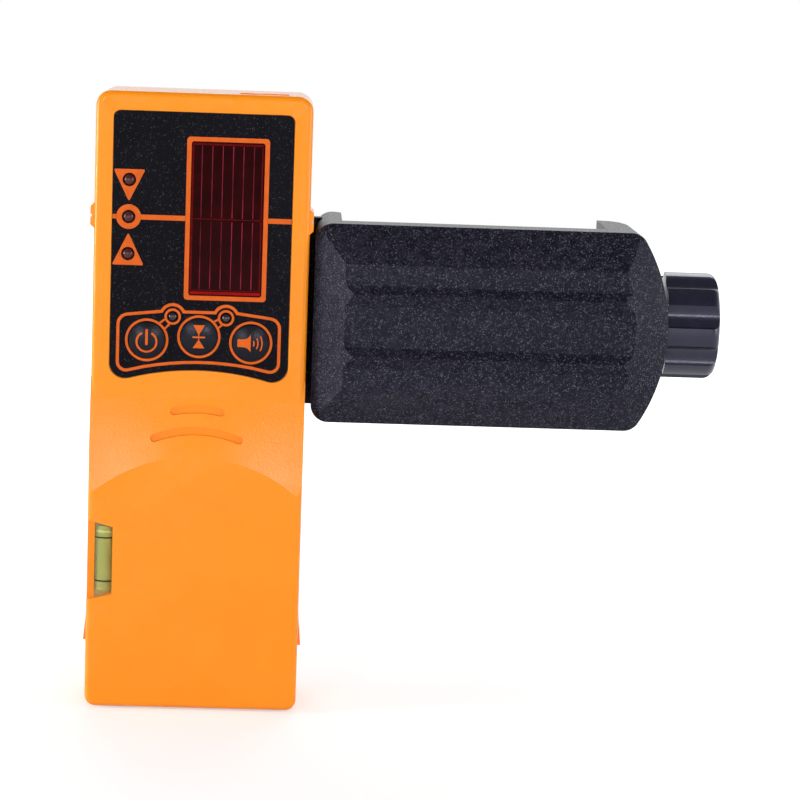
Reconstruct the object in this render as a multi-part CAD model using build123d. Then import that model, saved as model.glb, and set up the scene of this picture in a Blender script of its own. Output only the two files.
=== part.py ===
from build123d import *
import math
import os

# Laser receiver on a staff clamp: an orange two-shell receiver and a black C-shaped clamp
# whose screw pushes the moving jaw. Millimetres.
# Origin at the centre of the fixed jaw's pad face, X right towards the knob, Y to the back, Z up.

# Clamp frame and cover
CLAMP_HEIGHT = 51.6
JAW_DEPTH = 26.0
JAW_WALL = 6.8
STAFF_BAY = 69.0
END_CORNER_THICK = 8.0
END_ARCH_BULGE = 8.1
FRONT_WALL = 9.0
COVER_THICK = 6.0
COVER_CORNER_R = 4.5
JAW_REAR_CHAMFER = 2.0
END_REAR_R = 6.0
END_ROUND_SHARES = (0.0, 0.5, 0.8, 1.0)
FACET_HEIGHT = 9.7
RIDGE_WIDTH = 5.4
RIDGE_HEIGHT = 1.7
RIDGE_LEAN = 0.6
MIDDLE_FLAT = 10.6
LEFT_BEVEL = 8.0
RIGHT_BEVEL = 9.0
COVER_POCKET_DEPTH = 2.0
FRAME_SKIN = 2.5
FRAME_RIB = 3.0
POCKET_COLUMNS = 3
TRACK_BAND = 13.0
MOUNT_PLATE = 4.0
MOUNT_PLATE_HEIGHT = 50.0
MOUNT_PLATE_REACH = 15.0
MOUNT_PLATE_CORNER_R = 6.0
GUSSET_THICK = 3.0
GUSSET_SPREAD = 40.0

# Jaws, pads, clamp screw and knob
PAD_THICK = 2.0
PAD_PROUD = 1.0
PAD_HEIGHT = 38.0
PAD_DEPTH = 21.0
PAD_CORNER_R = 2.0
JAW_THICK = 9.0
JAW_HEIGHT = 40.0
JAW_EDGE_R = 2.0
JAW_REST_GAP = 15.0
SLIDE_CLEARANCE = 0.3
TRACK_WIDTH = 8.0
TRACK_DEPTH = 3.0
GLIDE_MARGIN = 1.5
GLIDE_SEAT = 2.5
GLIDE_CORNER_R = 1.0
SCREW_DEPTH = 21.5
SCREW_R = 4.0
JOURNAL_R = 3.0
CLIP_POCKET_R = 6.5
CLIP_POCKET_DEPTH = 3.2
CLIP_THICK = 0.8
CLIP_OUTER_R = 5.2
CLIP_GROOVE_R = 2.4
NUT_R = 6.5
NUT_LENGTH = 12.0
NUT_GROOVE_DEPTH = 1.0
NUT_GROOVE_WIDTH = 3.0
KNOB_R = 14.0
KNOB_LENGTH = 13.8
KNOB_GAP = 0.8
KNOB_FLUTES = 8
KNOB_FLUTE_R = 4.0
KNOB_FLUTE_DEPTH = 1.8
KNOB_FLUTE_START = 29.0
KNOB_EDGE_R = 2.4
KNOB_END_WALL = 3.5

# Receiver housing
RX_GAP = 1.5
RX_WIDTH = 55.1
RX_HEIGHT = 159.8
RX_DEPTH = 27.0
TOP_ABOVE_ZERO = 31.9
STAFF_FACE_DEPTH = 11.0
ZERO_ABOVE_CLAMP = 0.2
TOP_CORNER_R = 4.0
BOTTOM_CORNER_R = 2.8
FRONT_EDGE_R = 1.5
REAR_EDGE_R = 2.5
WALL = 2.2
SPLIT_DEPTH = 11.0
RAISE = 3.0
RAMP_FOOT_DROP = 46.0
RAMP_FOOT_SAG = 1.6
RAMP_HEAD_DROP = 61.3
RAMP_HEAD_SAG = 10.7
LUG_HEIGHT = 6.4
LUG_PROUD = 0.9
LUG_NOTCH = 0.5
WEDGE_TOP_DROP = 102.9
WEDGE_HEIGHT = 7.8
WEDGE_PROUD = 0.75
FOOT_WIDTH = 4.8
FOOT_PROUD = 0.4
FOOT_SPREAD = 23.3
FOOT_DEPTH = 5.0
TOP_NOTCH_WIDTH = 12.4
TOP_NOTCH_OFFSET = 15.0
TOP_NOTCH_DEPTH = 0.8
SEAL_WIDTH = 1.0
SEAL_DEPTH = 1.2

# Panel, window, lights and keys
PANEL_WIDTH = 46.0
PANEL_TOP = 27.1
PANEL_BOTTOM = 39.15
PANEL_ARCH_R = 67.0
PANEL_TOP_R = 1.8
PANEL_BOTTOM_R = 4.0
PANEL_THICK = 0.5
PANEL_RECESS = 0.6
WINDOW_OFFSET = 6.25
WINDOW_WIDTH = 18.5
WINDOW_HEIGHT = 39.2
WINDOW_CORNER_R = 0.6
WINDOW_FLANGE = 1.8
WINDOW_FLANGE_THICK = 1.5
WINDOW_COLUMNS = 7
WINDOW_GROOVE = 0.4
LIGHT_INSET = 4.3
LIGHT_SPACING = 9.45
LIGHT_R = 1.5
LIGHT_PROUD = 0.7
STATUS_SPACING = 13.65
STATUS_DROP = 25.3
STATUS_R = 1.25
STATUS_PROUD = 0.5
LIGHT_FLANGE = 0.4
LIGHT_BODY = 5.0
LIGHT_LEG = 0.5
LIGHT_LEG_SPACING = 1.3
HOLE_CLEARANCE = 0.15
KEY_SPACING = 13.33
KEY_OFFSET = -0.1
KEY_DROP = 31.5
KEY_MIDDLE_RISE = 1.2
KEY_R = 4.6
KEY_DOME = 0.7
KEY_PROUD = 1.0
KEY_FLANGE = 0.9
KEY_FLANGE_THICK = 0.8
KEY_TRAVEL = 0.5
KEY_SEAT_CLEARANCE = 0.1
SWITCH_SIZE = 6.0
SWITCH_PLUNGER_R = 1.75
SWITCH_PLUNGER = 0.5

# Board, beeper and vial
BOARD_DEPTH = 7.6
BOARD_THICK = 1.6
BOARD_WIDTH = 47.6
BOARD_TOP = 23.2
BOARD_BOTTOM = 42.6
BOARD_SCREW_INSET = 3.0
BOARD_BOSS_R = 2.7
BOARD_SCREW_R = 1.0
BOARD_SCREW_HEAD_R = 1.9
BOARD_SCREW_HEAD = 1.4
BOARD_SCREW_BITE = 4.0
DIODE_WIDTH = 5.0
DIODE_HEIGHT = 4.4
DIODE_THICK = 2.0
DIODE_COLUMNS = 2
DIODE_ROWS = 4
BEEPER_R = 10.0
BEEPER_BAY_CLEARANCE = 0.4
BEEPER_DROP = 53.0
SLOT_WIDTH = 2.0
SLOT_DEPTH = 0.8
SLOT_SHORT = 12.0
SLOT_SHORT_DROP = 49.1
SLOT_LONG = 22.3
SLOT_LONG_DROP = 54.6
SLOT_ARCH_R = 30.0
VIAL_R = 3.0
VIAL_BORE_R = 2.2
VIAL_LENGTH = 21.0
VIAL_END = 2.0
VIAL_DROP = 88.95
VIAL_INSET = 4.55
VIAL_DEPTH = 1.5
VIAL_CLEARANCE = 0.1
VIAL_WINDOW_WIDTH = 4.1
VIAL_WINDOW_HEIGHT = 17.7
VIAL_SCOOP_SPREAD = 2.0
VIAL_CARRIER_WIDTH = 10.5
VIAL_CARRIER_WALL = 2.0
BUBBLE_R = 1.7

# Battery bay, door and case screws
BATTERY_WIDTH = 26.5
BATTERY_HEIGHT = 45.5
BATTERY_THICK = 17.5
BATTERY_EDGE_R = 2.0
TERMINAL_R = 3.6
TERMINAL_HEIGHT = 3.0
TERMINAL_SPACING = 12.7
SNAP_THICK = 3.5
BAY_WALL = 1.5
BAY_CLEARANCE = 0.3
DOOR_THICK = 2.0
DOOR_OVERLAP = 1.2
DOOR_CLEARANCE = 0.3
DOOR_GRIP_RIBS = 4
DOOR_GRIP_START = 3.0
DOOR_GRIP_PITCH = 2.0
DOOR_GRIP_PROUD = 0.5
HINGE_FROM_BOTTOM = 5.0
HINGE_R = 1.6
TRUNNION_R = 0.9
TRUNNION_LENGTH = 1.2
TRUNNION_CLEARANCE = 0.05
CHEEK_THICK = 2.6
CASE_SCREW_INSET = 4.7
CASE_SCREW_BOSS_R = 3.2
CASE_SCREW_R = 1.45
CASE_SCREW_HEAD_R = 2.6
CASE_SCREW_HEAD = 2.0
CASE_SCREW_SINK = 3.0
CASE_SCREW_BITE = 6.0

# Lock screw between the mount plate and the receiver
LOCK_R = 3.175
LOCK_KNOB_R = 9.0
LOCK_KNOB_LENGTH = 9.0
LOCK_FLUTES = 12
LOCK_FLUTE_R = 2.0
LOCK_FLUTE_DEPTH = 0.9
LOCK_EDGE_R = 1.2
LOCK_END_WALL = 2.5
LOCK_BOSS_R = 8.0
LOCK_WELL_R = 6.0
LOCK_WELL_DEPTH = 7.5
LOCK_CLIP_THICK = 1.0
LOCK_CLIP_R = 5.2
LOCK_CLIP_GROOVE = 0.5
LOCK_SEAT_GAP = 0.3
INSERT_R = 4.5
INSERT_LENGTH = 5.0
LOCATING_PIN_R = 2.0
LOCATING_PIN_LENGTH = 1.6
LOCATING_PIN_SPACING = 36.0
PIN_CLEARANCE = 0.1

FIT = 0.05

# Row positions that follow from the sizes
staff_face_y = -JAW_DEPTH / 2
jaw_back_y = JAW_DEPTH / 2
panel_y = staff_face_y - STAFF_FACE_DEPTH
raised_y = panel_y - RAISE
split_y = panel_y + SPLIT_DEPTH
rx_back_y = panel_y + RX_DEPTH
frame_front_y = staff_face_y - FRONT_WALL
cover_front_y = frame_front_y - COVER_THICK
plate_back_y = rx_back_y + MOUNT_PLATE
screw_y = panel_y + SCREW_DEPTH
board_y = panel_y + BOARD_DEPTH
board_back_y = board_y + BOARD_THICK
inner_y = panel_y + WALL

jaw_face_x = -PAD_PROUD
frame_left = jaw_face_x - JAW_WALL
end_wall_x = jaw_face_x + STAFF_BAY
end_corner_x = end_wall_x + END_CORNER_THICK
end_apex_x = end_corner_x + END_ARCH_BULGE
knob_left = end_apex_x + KNOB_GAP
rx_right = frame_left - RX_GAP
rx_left = rx_right - RX_WIDTH
rx_mid = (rx_left + rx_right) / 2

clamp_half = CLAMP_HEIGHT / 2
zero_z = clamp_half + ZERO_ABOVE_CLAMP
rx_top = zero_z + TOP_ABOVE_ZERO
rx_bottom = rx_top - RX_HEIGHT
board_top = zero_z + BOARD_TOP
board_bottom = zero_z - BOARD_BOTTOM

slide_jaw_face = JAW_REST_GAP + PAD_PROUD
slide_jaw_back = slide_jaw_face + JAW_THICK

hinge_z = rx_bottom + HINGE_FROM_BOTTOM
hinge_y = rx_back_y - HINGE_R
bay_bottom = hinge_z + HINGE_R + DOOR_CLEARANCE + BAY_WALL
bay_top = bay_bottom + BATTERY_HEIGHT + TERMINAL_HEIGHT + SNAP_THICK + 2 * BAY_CLEARANCE
bay_half = BATTERY_WIDTH / 2 + BAY_CLEARANCE
door_front_y = rx_back_y - DOOR_THICK
battery_back_y = door_front_y - BAY_CLEARANCE
battery_front_y = battery_back_y - BATTERY_THICK
bay_floor_y = battery_front_y - BAY_CLEARANCE
tray_y = bay_floor_y - BAY_WALL
door_half = bay_half + DOOR_OVERLAP
door_top = bay_top + DOOR_OVERLAP

vial_x = rx_left + VIAL_INSET
vial_y = panel_y + VIAL_DEPTH
vial_z = zero_z - VIAL_DROP

key_places = [
    (rx_mid + KEY_OFFSET + step * KEY_SPACING, zero_z - KEY_DROP + (KEY_MIDDLE_RISE if step == 0 else 0.0))
    for step in (-1, 0, 1)
]
light_x = rx_mid - PANEL_WIDTH / 2 + LIGHT_INSET
light_places = [(light_x, zero_z + step * LIGHT_SPACING) for step in (1, 0, -1)]
status_places = [
    (rx_mid + KEY_OFFSET + side * STATUS_SPACING / 2, zero_z - STATUS_DROP) for side in (-1, 1)
]
board_screw_places = [
    (rx_mid + side * (BOARD_WIDTH / 2 - BOARD_SCREW_INSET), z)
    for side in (-1, 1)
    for z in (board_bottom + BOARD_SCREW_INSET, board_top - BOARD_SCREW_INSET)
]
case_screw_places = [
    (rx_mid + side * (RX_WIDTH / 2 - CASE_SCREW_INSET), z)
    for side in (-1, 1)
    for z in (rx_bottom + CASE_SCREW_INSET + FRONT_EDGE_R, rx_top - CASE_SCREW_INSET)
]


def slab(sketch, front, back):
    """Extrude a sketch drawn in X and Z from depth front to depth back."""
    return extrude(Plane.XZ.offset(-back) * sketch, back - front)


def bar(sketch, left, right):
    """Extrude a sketch drawn in Y and Z from X left to X right."""
    return extrude(Plane.YZ.offset(left) * sketch, right - left)


def rod(x, z, radius, front, back):
    """Round rod along Y."""
    return slab(Pos(x, z) * Circle(radius), front, back)


def block(left, right, front, back, low, high):
    """Box between given planes."""
    middle = Pos((left + right) / 2, (front + back) / 2, (low + high) / 2)
    return middle * Box(right - left, back - front, high - low)


def rx_block(half_width, front, back, low, high):
    """Box centred on the receiver's middle."""
    return block(rx_mid - half_width, rx_mid + half_width, front, back, low, high)


def turned_y(profile, x, z):
    """Revolve a profile of radius and depth about an axis along Y through x, z."""
    return Pos(x, 0, z) * revolve(make_face(profile), Axis.Y)


def turned_x(profile):
    """Revolve a profile of X and radius about the clamp screw's axis."""
    return Pos(0, screw_y, 0) * revolve(make_face(profile), Axis.X)


def housing_outline(inset):
    """Receiver outline seen from the front, drawn in by inset."""
    outline = Pos(rx_mid, (rx_top + rx_bottom) / 2) * Rectangle(RX_WIDTH - 2 * inset, RX_HEIGHT - 2 * inset)
    outline = fillet(outline.vertices().group_by(Axis.Y)[-1], max(TOP_CORNER_R - inset, WALL / 4))
    return fillet(outline.vertices().group_by(Axis.Y)[0], max(BOTTOM_CORNER_R - inset, WALL / 4))


def rounded_front(front):
    """Front shell blank with its front edge rounded."""
    blank = slab(housing_outline(0), front, split_y)
    return fillet(blank.faces().sort_by(Axis.Y)[0].edges(), FRONT_EDGE_R)


def ramp_section(depth):
    """Region below the ramp's edge at a depth behind the panel plane, on that plane."""
    share = (depth + RAISE) / RAISE
    drop = RAMP_HEAD_DROP + share * (RAMP_FOOT_DROP - RAMP_HEAD_DROP)
    sag = RAMP_HEAD_SAG + share * (RAMP_FOOT_SAG - RAMP_HEAD_SAG)
    half = RX_WIDTH / 2
    radius = (half**2 + sag**2) / (2 * sag)
    reach = half + LUG_PROUD
    apex = (rx_mid, zero_z - drop)
    end_z = zero_z - drop - math.copysign(abs(radius) - math.sqrt(radius**2 - reach**2), sag)
    low = rx_bottom - FOOT_PROUD
    left = rx_mid - reach
    right = rx_mid + reach
    arch = ThreePointArc((left, end_z), apex, (right, end_z))
    sides = Polyline((right, end_z), (right, low), (left, low), (left, end_z))
    return Plane.XZ.offset(-(panel_y + depth)) * make_face([arch, sides])


def raised_half():
    """Lower half of the front, which stands forward behind a curved ramp."""
    foot = FRONT_EDGE_R / 2
    ramp = loft([ramp_section(-RAISE - foot), ramp_section(foot)], ruled=True)
    behind = extrude(ramp_section(foot), split_y - panel_y - foot, dir=(0, 1, 0))
    return rounded_front(raised_y) & (ramp + behind)


def side_lugs():
    """Pointer lugs on both sides at the zero line, each with a notch in its front edge."""
    lugs = []
    for side in (-1, 1):
        face = rx_mid + side * RX_WIDTH / 2
        tip = face + side * LUG_PROUD
        root = face - side * WALL
        high = LUG_HEIGHT / 2
        profile = Polyline(
            (root, zero_z - high - LUG_PROUD),
            (face, zero_z - high),
            (tip, zero_z - high + LUG_PROUD),
            (tip, zero_z - LUG_NOTCH),
            (tip - side * LUG_NOTCH, zero_z),
            (tip, zero_z + LUG_NOTCH),
            (tip, zero_z + high - LUG_PROUD),
            (face, zero_z + high),
            (root, zero_z + high + LUG_PROUD),
            close=True,
        )
        lugs.append(slab(make_face(profile), panel_y + FRONT_EDGE_R / 2, split_y))
    return lugs


def side_wedges():
    """Finger wedges low on both sides, widest at their lower end."""
    top = zero_z - WEDGE_TOP_DROP
    wedges = []
    for side in (-1, 1):
        face = rx_mid + side * RX_WIDTH / 2
        root = face - side * WALL
        tip = face + side * WEDGE_PROUD
        low = top - WEDGE_HEIGHT
        profile = Polyline((root, top), (face, top), (tip, low), (root, low), close=True)
        wedges.append(slab(make_face(profile), panel_y, split_y))
    return wedges


def bottom_feet():
    """Two small feet under the front of the housing."""
    feet = []
    for side in (-1, 1):
        middle = rx_mid + side * FOOT_SPREAD / 2
        feet.append(
            block(
                middle - FOOT_WIDTH / 2,
                middle + FOOT_WIDTH / 2,
                panel_y,
                panel_y + FOOT_DEPTH,
                rx_bottom - FOOT_PROUD,
                rx_bottom + WALL / 2,
            )
        )
    return feet


def panel_outline(inset):
    """Outline of the black panel: square top corners, arched lower edge."""
    half = PANEL_WIDTH / 2 - inset
    top = zero_z + PANEL_TOP - inset
    arch_top = zero_z - PANEL_BOTTOM + inset
    corner = arch_top - PANEL_ARCH_R + math.sqrt(PANEL_ARCH_R**2 - half**2)
    left = rx_mid - half
    right = rx_mid + half
    sides = Polyline((left, corner), (left, top), (right, top), (right, corner))
    arch = ThreePointArc((right, corner), (rx_mid, arch_top), (left, corner))
    outline = make_face([sides, arch])
    outline = fillet(outline.vertices().group_by(Axis.Y)[-1], PANEL_TOP_R)
    return fillet(outline.vertices().group_by(Axis.Y)[0], PANEL_BOTTOM_R)


def window_outline(grow):
    """Sensor window outline, enlarged by grow."""
    return Pos(rx_mid + WINDOW_OFFSET, zero_z) * RectangleRounded(
        WINDOW_WIDTH + 2 * grow, WINDOW_HEIGHT + 2 * grow, WINDOW_CORNER_R + max(grow, 0)
    )


def front_openings(front, back, grow):
    """Cutters for the window, lights and keys through the panel and the front wall."""
    cutters = [slab(window_outline(grow), front, back)]
    for x, z in light_places:
        cutters.append(rod(x, z, LIGHT_R + grow, front, back))
    for x, z in status_places:
        cutters.append(rod(x, z, STATUS_R + grow, front, back))
    for x, z in key_places:
        cutters.append(rod(x, z, KEY_R + grow, front, back))
    return cutters


def beeper_slots():
    """Two shallow arched grooves in the ramp over the beeper."""
    slots = []
    for length, drop in ((SLOT_SHORT, SLOT_SHORT_DROP), (SLOT_LONG, SLOT_LONG_DROP)):
        floor_y = panel_y - RAISE * (drop - RAMP_FOOT_DROP) / (RAMP_HEAD_DROP - RAMP_FOOT_DROP) + SLOT_DEPTH
        turn = math.degrees(length / SLOT_ARCH_R)
        arch = CenterArc((0, 0), SLOT_ARCH_R, 90 - turn / 2, turn)
        slot = Pos(rx_mid, zero_z - drop - SLOT_ARCH_R) * SlotArc(arch, SLOT_WIDTH)
        slots.append(slab(slot, raised_y - SLOT_WIDTH, floor_y))
    return slots


def vial_cut():
    """Seat of the vial, its front window and the scoop that opens to the side."""
    reach = VIAL_LENGTH / 2 + VIAL_CLEARANCE
    seat = Pos(vial_x, vial_y, vial_z) * Cylinder(VIAL_R + VIAL_CLEARANCE, 2 * reach)
    high = VIAL_WINDOW_HEIGHT / 2
    near = vial_x + VIAL_WINDOW_WIDTH / 2
    far = rx_left - LUG_PROUD
    window = block(near - VIAL_WINDOW_WIDTH, near, raised_y - WALL, vial_y, vial_z - high, vial_z + high)
    scoop = Polyline(
        (near, vial_z - high),
        (near, vial_z + high),
        (far, vial_z + high + VIAL_SCOOP_SPREAD),
        (far, vial_z - high - VIAL_SCOOP_SPREAD),
        close=True,
    )
    return [seat, window, slab(make_face(scoop), raised_y - WALL, vial_y - VIAL_R / 2)]


def vial_carrier():
    """Solid block inside the left edge that carries the vial."""
    reach = VIAL_LENGTH / 2 + VIAL_CARRIER_WALL
    right = rx_left + VIAL_CARRIER_WIDTH
    back = vial_y + VIAL_R + VIAL_CARRIER_WALL
    return block(rx_left + WALL / 2, right, panel_y, back, vial_z - reach, vial_z + reach)


def front_shell():
    """Front moulding: stepped face, panel recess, openings, bosses and vial carrier."""
    shell = rounded_front(panel_y) + raised_half()
    shell = shell + side_lugs() + side_wedges() + bottom_feet()
    cavity = slab(housing_outline(WALL), inner_y, split_y)
    step = RAMP_HEAD_DROP + RAMP_HEAD_SAG + WALL
    left = rx_left + VIAL_CARRIER_WIDTH
    low_pocket = block(left, rx_right - WALL, raised_y + WALL, split_y, rx_bottom + WALL, zero_z - step)
    shell = shell - cavity - low_pocket + vial_carrier()
    for x, z in case_screw_places:
        shell = shell + rod(x, z, CASE_SCREW_BOSS_R, inner_y, split_y)
        shell = shell - rod(x, z, CASE_SCREW_R + FIT, split_y - CASE_SCREW_BITE - FIT, split_y)
    for x, z in board_screw_places:
        shell = shell + rod(x, z, BOARD_BOSS_R, inner_y, board_y)
        shell = shell - rod(x, z, BOARD_SCREW_R + FIT, board_y - BOARD_SCREW_BITE - FIT, board_y)
    shell = shell - slab(panel_outline(0), panel_y - RAISE, panel_y + PANEL_RECESS)
    shell = shell - front_openings(panel_y, inner_y, HOLE_CLEARANCE)
    shell = shell - beeper_slots() - vial_cut()
    notch_x = rx_mid + TOP_NOTCH_OFFSET
    return shell - block(
        notch_x - TOP_NOTCH_WIDTH / 2,
        notch_x + TOP_NOTCH_WIDTH / 2,
        panel_y + FRONT_EDGE_R,
        split_y - WALL,
        rx_top - TOP_NOTCH_DEPTH,
        rx_top + TOP_NOTCH_DEPTH,
    )


def lock_well():
    """Well in the receiver's back for the captive clip, and the seat of the thread insert below it."""
    well = rod(rx_mid, 0, LOCK_WELL_R, rx_back_y - LOCK_WELL_DEPTH, rx_back_y)
    seat = rod(rx_mid, 0, INSERT_R, rx_back_y - LOCK_WELL_DEPTH - INSERT_LENGTH, rx_back_y)
    return [well, seat]


def rear_shell():
    """Rear moulding: battery bay, door opening with hinge cheeks, lock boss and case screw bosses."""
    shell = slab(housing_outline(0), split_y, rx_back_y)
    shell = fillet(shell.faces().sort_by(Axis.Y)[-1].edges(), REAR_EDGE_R)
    wall_y = rx_back_y - WALL
    shell = shell - slab(housing_outline(WALL), split_y, wall_y)
    sill = bay_bottom - BAY_WALL
    shell = shell + rx_block(bay_half + BAY_WALL, tray_y, door_front_y, sill, bay_top + BAY_WALL)
    shell = shell - rx_block(bay_half, bay_floor_y, rx_back_y, bay_bottom, bay_top)
    mouth = door_half + DOOR_CLEARANCE
    low = hinge_z - HINGE_R - DOOR_CLEARANCE
    for side in (-1, 1):
        near = rx_mid + side * mouth
        far = near + side * CHEEK_THICK
        left = min(near, far)
        right = max(near, far)
        cheek_y = hinge_y - 2 * HINGE_R
        shell = shell + block(left, right, cheek_y, wall_y, rx_bottom + WALL / 2, hinge_z + 2 * HINGE_R)
    shell = shell - rx_block(mouth, door_front_y, rx_back_y, low, door_top + DOOR_CLEARANCE)
    shell = shell - rx_block(mouth, hinge_y - HINGE_R - DOOR_CLEARANCE, rx_back_y, low, sill)
    pin_reach = mouth + TRUNNION_LENGTH + TRUNNION_CLEARANCE
    pin_hole = Pos(hinge_y, hinge_z) * Circle(TRUNNION_R + TRUNNION_CLEARANCE)
    shell = shell - bar(pin_hole, rx_mid - pin_reach, rx_mid + pin_reach)
    boss_y = rx_back_y - LOCK_WELL_DEPTH - INSERT_LENGTH
    shell = shell + rod(rx_mid, 0, LOCK_BOSS_R, boss_y, wall_y)
    shell = shell - lock_well()
    for side in (-1, 1):
        z = side * LOCATING_PIN_SPACING / 2
        pin_well = LOCATING_PIN_LENGTH + PIN_CLEARANCE
        shell = shell - rod(rx_mid, z, LOCATING_PIN_R + PIN_CLEARANCE, rx_back_y - pin_well, rx_back_y)
    for x, z in case_screw_places:
        shell = shell + rod(x, z, CASE_SCREW_BOSS_R, split_y, wall_y)
        shell = shell - rod(x, z, CASE_SCREW_R + HOLE_CLEARANCE, split_y, rx_back_y)
        sink_r = CASE_SCREW_HEAD_R + HOLE_CLEARANCE
        shell = shell - rod(x, z, sink_r, rx_back_y - CASE_SCREW_SINK, rx_back_y)
    return shell - seal_ring()


def seal_ring():
    """Rubber ring in a groove of the rear shell's rim."""
    inset = (WALL - SEAL_WIDTH) / 2
    ring = housing_outline(inset) - housing_outline(inset + SEAL_WIDTH)
    return slab(ring, split_y, split_y + SEAL_DEPTH)


def panel_overlay():
    """Black sheet in the recess of the front, pierced for window, lights and keys."""
    front = panel_y + PANEL_RECESS - PANEL_THICK
    sheet = slab(panel_outline(HOLE_CLEARANCE), front, panel_y + PANEL_RECESS)
    return sheet - front_openings(front, panel_y + PANEL_RECESS, HOLE_CLEARANCE)


def sensor_window():
    """Red window: plate through the front wall, flange behind it, upright grooves on its back."""
    front = panel_y + PANEL_RECESS - PANEL_THICK
    back = inner_y + WINDOW_FLANGE_THICK
    window = slab(window_outline(0), front, inner_y) + slab(window_outline(WINDOW_FLANGE), inner_y, back)
    pitch = WINDOW_WIDTH / WINDOW_COLUMNS
    left = rx_mid + WINDOW_OFFSET - WINDOW_WIDTH / 2
    for column in range(1, WINDOW_COLUMNS):
        x = left + column * pitch
        groove = Pos(x, zero_z) * Rectangle(WINDOW_GROOVE, WINDOW_HEIGHT)
        window = window - slab(groove, back - WINDOW_GROOVE, back)
    return window


def photodiodes():
    """Light sensors on the board behind the window."""
    pitch_x = WINDOW_WIDTH / DIODE_COLUMNS
    pitch_z = WINDOW_HEIGHT / DIODE_ROWS
    grid = GridLocations(pitch_x, pitch_z, DIODE_COLUMNS, DIODE_ROWS)
    chips = [place * Rectangle(DIODE_WIDTH, DIODE_HEIGHT) for place in grid]
    centre = Pos(rx_mid + WINDOW_OFFSET, zero_z)
    return Compound([slab(centre * chip, board_y - DIODE_THICK, board_y).solid() for chip in chips])


def main_board():
    """Circuit board on the front shell's bosses."""
    middle = (board_top + board_bottom) / 2
    outline = Pos(rx_mid, middle) * Rectangle(BOARD_WIDTH, board_top - board_bottom)
    board = slab(outline, board_y, board_back_y)
    for x, z in board_screw_places:
        board = board - rod(x, z, BOARD_SCREW_R + HOLE_CLEARANCE, board_y, board_back_y)
    return board


def board_screws():
    """Four screws through the board."""
    screws = []
    for x, z in board_screw_places:
        shank = rod(x, z, BOARD_SCREW_R, board_y - BOARD_SCREW_BITE, board_back_y)
        head = rod(x, z, BOARD_SCREW_HEAD_R, board_back_y, board_back_y + BOARD_SCREW_HEAD)
        screws.append((shank + head).solid())
    return Compound(screws)


def light(x, z, radius, proud):
    """Domed light: body with a flange, on two legs to the board."""
    tip = panel_y - proud
    base = tip + LIGHT_BODY
    flange = radius + LIGHT_FLANGE
    half = radius * math.sqrt(0.5)
    dome = ThreePointArc((0, tip), (half, tip + radius - half), (radius, tip + radius))
    side = Polyline(
        (radius, tip + radius),
        (radius, base - LIGHT_FLANGE),
        (flange, base - LIGHT_FLANGE),
        (flange, base),
        (0, base),
        (0, tip),
    )
    body = turned_y([dome, side], x, z)
    for step in (-1, 1):
        leg = Pos(x + step * LIGHT_LEG_SPACING / 2, z) * Rectangle(LIGHT_LEG, LIGHT_LEG)
        body = body + slab(leg, base, board_y)
    return body


def key(x, z):
    """Domed key cap with a flange that keeps it behind the front wall."""
    tip = panel_y - KEY_PROUD
    edge = tip + KEY_DOME
    flange_y = inner_y + KEY_SEAT_CLEARANCE
    back = flange_y + KEY_FLANGE_THICK
    radius = (KEY_R**2 + KEY_DOME**2) / (2 * KEY_DOME)
    half = KEY_R / 2
    dome = ThreePointArc((0, tip), (half, tip + radius - math.sqrt(radius**2 - half**2)), (KEY_R, edge))
    side = Polyline(
        (KEY_R, edge),
        (KEY_R, flange_y),
        (KEY_R + KEY_FLANGE, flange_y),
        (KEY_R + KEY_FLANGE, back),
        (0, back),
        (0, tip),
    )
    return turned_y([dome, side], x, z)


def key_switches():
    """One tact switch on the board behind each key, a key's travel away from it."""
    plunger_y = inner_y + KEY_SEAT_CLEARANCE + KEY_FLANGE_THICK + KEY_TRAVEL + KEY_SEAT_CLEARANCE
    switches = []
    for x, z in key_places:
        body = slab(Pos(x, z) * Rectangle(SWITCH_SIZE, SWITCH_SIZE), plunger_y + SWITCH_PLUNGER, board_y)
        switches.append((body + rod(x, z, SWITCH_PLUNGER_R, plunger_y, plunger_y + SWITCH_PLUNGER)).solid())
    return Compound(switches)


def beeper():
    """Round sounder glued behind the grooves."""
    return rod(rx_mid, zero_z - BEEPER_DROP, BEEPER_R, inner_y, tray_y - BEEPER_BAY_CLEARANCE)


def vial_tube():
    """Clear vial with closed ends."""
    bore = VIAL_LENGTH - 2 * VIAL_END
    return Pos(vial_x, vial_y, vial_z) * (Cylinder(VIAL_R, VIAL_LENGTH) - Cylinder(VIAL_BORE_R, bore))


def vial_fluid():
    """Liquid in the vial, with the bubble at its upper end."""
    bore = VIAL_LENGTH - 2 * VIAL_END
    fluid = Cylinder(VIAL_BORE_R, bore) - Pos(0, 0, bore / 2) * Sphere(BUBBLE_R)
    return Pos(vial_x, vial_y, vial_z) * fluid


def battery_door():
    """Door over the battery bay: plate, hinge barrel with trunnions, finger ribs at its upper end."""
    plate = block(rx_mid - door_half, rx_mid + door_half, door_front_y, rx_back_y, hinge_z, door_top)
    barrel = bar(Pos(hinge_y, hinge_z) * Circle(HINGE_R), rx_mid - door_half, rx_mid + door_half)
    pin_reach = door_half + DOOR_CLEARANCE + TRUNNION_LENGTH
    pins = bar(Pos(hinge_y, hinge_z) * Circle(TRUNNION_R), rx_mid - pin_reach, rx_mid + pin_reach)
    door = plate + barrel + pins
    for step in range(DOOR_GRIP_RIBS):
        z = door_top - DOOR_GRIP_START - step * DOOR_GRIP_PITCH
        rib = Pos(rx_back_y, z) * Circle(DOOR_GRIP_PROUD)
        door = door + bar(rib, rx_mid - door_half / 2, rx_mid + door_half / 2)
    return door


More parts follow.
